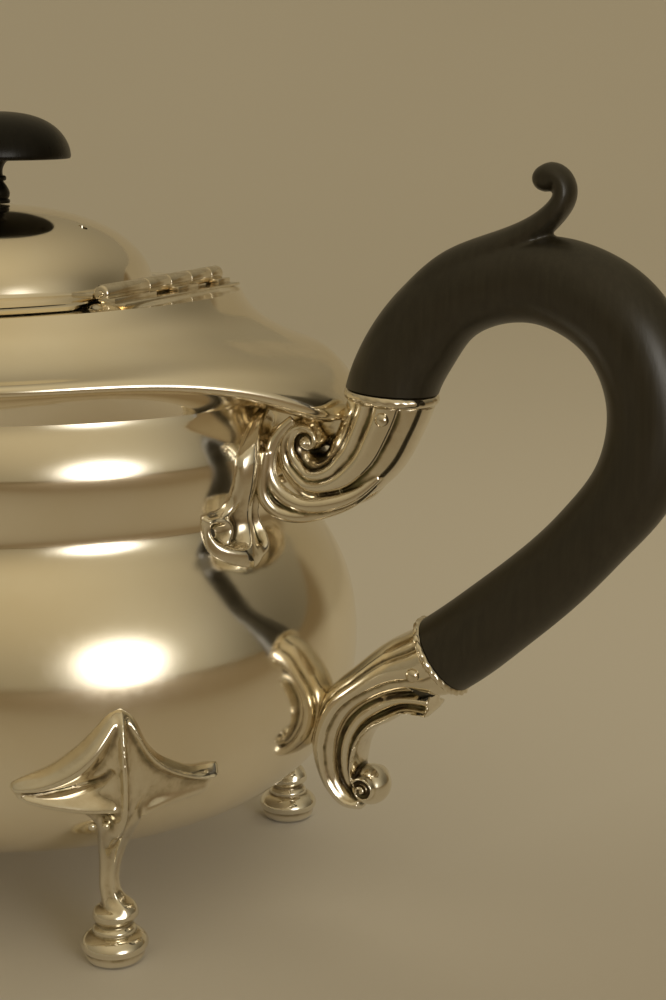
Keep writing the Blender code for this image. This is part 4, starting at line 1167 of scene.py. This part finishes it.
for q in (0.25, 0.5, 0.75):
    edge = outer[-1] * (1 - q) + inner[-1] * q
    edge = edge + np.array([tang[-1][0], 0, tang[-1][1]]) * 0.42 * math.sin(math.pi * q)
    rim.append(edge[None])
spout = grid("spout", np.concatenate([outer] + rim + [inner[::-1]]), wrap_u=True,
             wrap_v=True)
spout = cut("spout", spout, [envelope], solver='MANIFOLD')
place("swan_neck_spout", spout, "pot", ["spout"], SILVER, 50)

# -------------------------------------------------------------------- stage
FLOOR = (0.74, 0.71, 0.66)
prof = [(0.0, 0.0), (0.9, 0.0)]
for k in range(1, 21):
    a = math.radians(38.0) * k / 20
    prof.append((0.9 + 2.0 * math.sin(a), 2.0 * (1 - math.cos(a))))
prof.append((prof[-1][0] + 1.3, prof[-1][1] + 1.3 * math.tan(math.radians(38.0))))
me = bpy.data.meshes.new("cyclorama")
st = 160
vs = [(0.0, 0.0, -0.0003)]
fs = []
for r, z in prof[1:]:
    for j in range(st):
        a = 2 * math.pi * j / st
        away = abs((math.degrees(a) - 124.0 + 180.0) % 360.0 - 180.0)
        q = min(1.0, max(0.0, (88.0 - away) / 36.0))
        vs.append((r * math.cos(a), r * math.sin(a),
                   z * q * q * (3 - 2 * q) - 0.0003))
for j in range(st):
    fs.append((0, 1 + j, 1 + (j + 1) % st))
for i in range(len(prof) - 2):
    for j in range(st):
        a, b = 1 + i * st + j, 1 + i * st + (j + 1) % st
        fs.append((a, a + st, b + st, b))
me.from_pydata(vs, [], fs)
me.update()
me.shade_smooth()
floor = bpy.data.objects.new("studio_floor", me)
bpy.context.scene.collection.objects.link(floor)
m, t, p = node_tree("matte_paper")
paper = noise(t, stretched(t, (1, 1, 1)), 3.0, 3.0, 0.5)
sheet = blended(t, span(t, paper, 0.3, 0.7, 0.0, 1.0), FLOOR, tuple(c * 0.985 for c in FLOOR))
# painted shade: the floor on the camera's side of the pot fades to a dark brown between 0.06 and 0.30 m out,
# standing in for shade falling there
ahead = add(t, "ShaderNodeVectorMath", operation='DOT_PRODUCT')
t.links.new(add(t, "ShaderNodeTexCoord").outputs["Object"], ahead.inputs[0])
ahead.inputs[1].default_value = (0.92, -0.39, 0.0)
painted_shade_front = span(t, ahead.outputs["Value"], 0.06, 0.30, 0.0, 1.0)
t.links.new(blended(t, painted_shade_front, sheet, (0.38, 0.31, 0.22)), p.inputs["Base Color"])
p.inputs["Roughness"].default_value = 0.9
p.inputs["Specular IOR Level"].default_value = 0.1
me.materials.append(m)

world = bpy.data.worlds.new("soft_room")
bpy.context.scene.world = world
world.use_nodes = True
w = world.node_tree
heading = add(w, "ShaderNodeTexCoord").outputs["Generated"]


def lobe(az, el, k):
    """Smooth patch of the room's light round one direction."""
    a, e = math.radians(az), math.radians(el)
    n = add(w, "ShaderNodeVectorMath", operation='DOT_PRODUCT')
    w.links.new(heading, n.inputs[0])
    n.inputs[1].default_value = (math.cos(a) * math.cos(e), math.sin(a) * math.cos(e),
                                 math.sin(e))
    return calc(w, 'EXPONENT', calc(w, 'MULTIPLY', calc(w, 'SUBTRACT', n.outputs["Value"],
                                                        1.0), k))


room = (0.205, 0.166, 0.098)
parts = [(-40.0, 75.0, 2.2, (0.31, 0.265, 0.175)),     # pale ceiling
         (-20.0, 12.0, 9.0, (0.25, 0.225, 0.165)),     # screen round the key light
         (-75.0, 42.0, 5.0, (0.07, 0.045, 0.015)),     # warm wall to the left
         (28.0, 18.0, 4.0, (-0.135, -0.113, -0.070)),
         (18.0, -4.0, 7.0, (-0.03, -0.025, -0.018))]  # dim corner to the right
total = None
for az, el, k, c in parts:
    f = lobe(az, el, k)
    bits = add(w, "ShaderNodeVectorMath", operation='SCALE')
    bits.inputs[0].default_value = c
    w.links.new(f, bits.inputs["Scale"])
    plus = add(w, "ShaderNodeVectorMath", operation='ADD')
    w.links.new(bits.outputs[0], plus.inputs[0])
    if total is None:
        plus.inputs[1].default_value = room
    else:
        w.links.new(total, plus.inputs[1])
    total = plus.outputs[0]
w.links.new(total, w.nodes["Background"].inputs["Color"])
w.nodes["Background"].inputs["Strength"].default_value = 1.0


def glow(name, az, el, dist, size, peak, colour, target=(0.0, 0.0, 0.07), core=0.42):
    """Soft lamp: a square that glows in the middle and fades out to its rim."""
    a, e = math.radians(az), math.radians(el)
    d = Vector((math.cos(a) * math.cos(e), math.sin(a) * math.cos(e), math.sin(e)))
    me = bpy.data.meshes.new(name)
    me.from_pydata([(-1, -1, 0), (1, -1, 0), (1, 1, 0), (-1, 1, 0)], [], [(0, 1, 2, 3)])
    me.update()
    m = bpy.data.materials.new(name)
    m.use_nodes = True
    t = m.node_tree
    t.nodes.clear()
    c = add(t, "ShaderNodeTexCoord")
    r = add(t, "ShaderNodeVectorMath", operation='LENGTH')
    t.links.new(c.outputs["Object"], r.inputs[0])
    q = calc(t, 'DIVIDE', r.outputs["Value"], core)
    fall = calc(t, 'EXPONENT', calc(t, 'MULTIPLY', calc(t, 'MULTIPLY', q, q), -1.0))
    em = add(t, "ShaderNodeEmission")
    em.inputs["Color"].default_value = (*colour, 1.0)
    t.links.new(calc(t, 'MULTIPLY', fall, peak), em.inputs["Strength"])
    tr = add(t, "ShaderNodeBsdfTransparent")
    both = add(t, "ShaderNodeAddShader")
    t.links.new(em.outputs[0], both.inputs[0])
    t.links.new(tr.outputs[0], both.inputs[1])
    out = add(t, "ShaderNodeOutputMaterial")
    t.links.new(both.outputs[0], out.inputs["Surface"])
    me.materials.append(m)
    ob = bpy.data.objects.new(name, me)
    ob.location = Vector(target) + d * dist
    ob.rotation_mode = 'QUATERNION'
    ob.rotation_quaternion = (-d).to_track_quat('Z', 'Y')
    ob.scale = (size[0], size[1], 1.0)
    bpy.context.scene.collection.objects.link(ob)
    return ob


fill = bpy.data.lights.new("floor_fill", 'AREA')
fill.shape, fill.size = 'DISK', 0.35
fill.energy, fill.color = 0.22, (1.0, 0.87, 0.62)
lamp = bpy.data.objects.new("floor_fill", fill)
lamp.location = (0.16, 0.30, 0.50)
lamp.visible_glossy = False
bpy.context.scene.collection.objects.link(lamp)
glow("key_glow", -34.0, 9.0, 1.15, (0.50, 0.50), 6.5, (1.0, 0.96, 0.89))

# ------------------------------------------------------------------- camera
yaw, pitch = math.radians(23.75051129), math.radians(12.32650365)
F = Vector((-math.sin(yaw) * math.cos(pitch), math.cos(yaw) * math.cos(pitch),
            -math.sin(pitch)))
R = Vector((math.cos(yaw), math.sin(yaw), 0.0))
U = R.cross(F)
eye = Vector((205.53858638 + AX, -300.95415117, 152.82401965)) * MM
cam = bpy.data.cameras.new("studio_camera")
cam.lens, cam.sensor_width = 64.8, 36.0
cam.clip_start, cam.clip_end = 0.01, 20.0
view = bpy.data.objects.new("studio_camera", cam)
view.matrix_world = Matrix(((R.x, U.x, -F.x, eye.x), (R.y, U.y, -F.y, eye.y),
                            (R.z, U.z, -F.z, eye.z), (0, 0, 0, 1)))
bpy.context.scene.collection.objects.link(view)
bpy.context.scene.camera = view
bpy.context.scene.view_settings.view_transform = 'Standard'
bpy.context.scene.cycles.glossy_bounces = 8
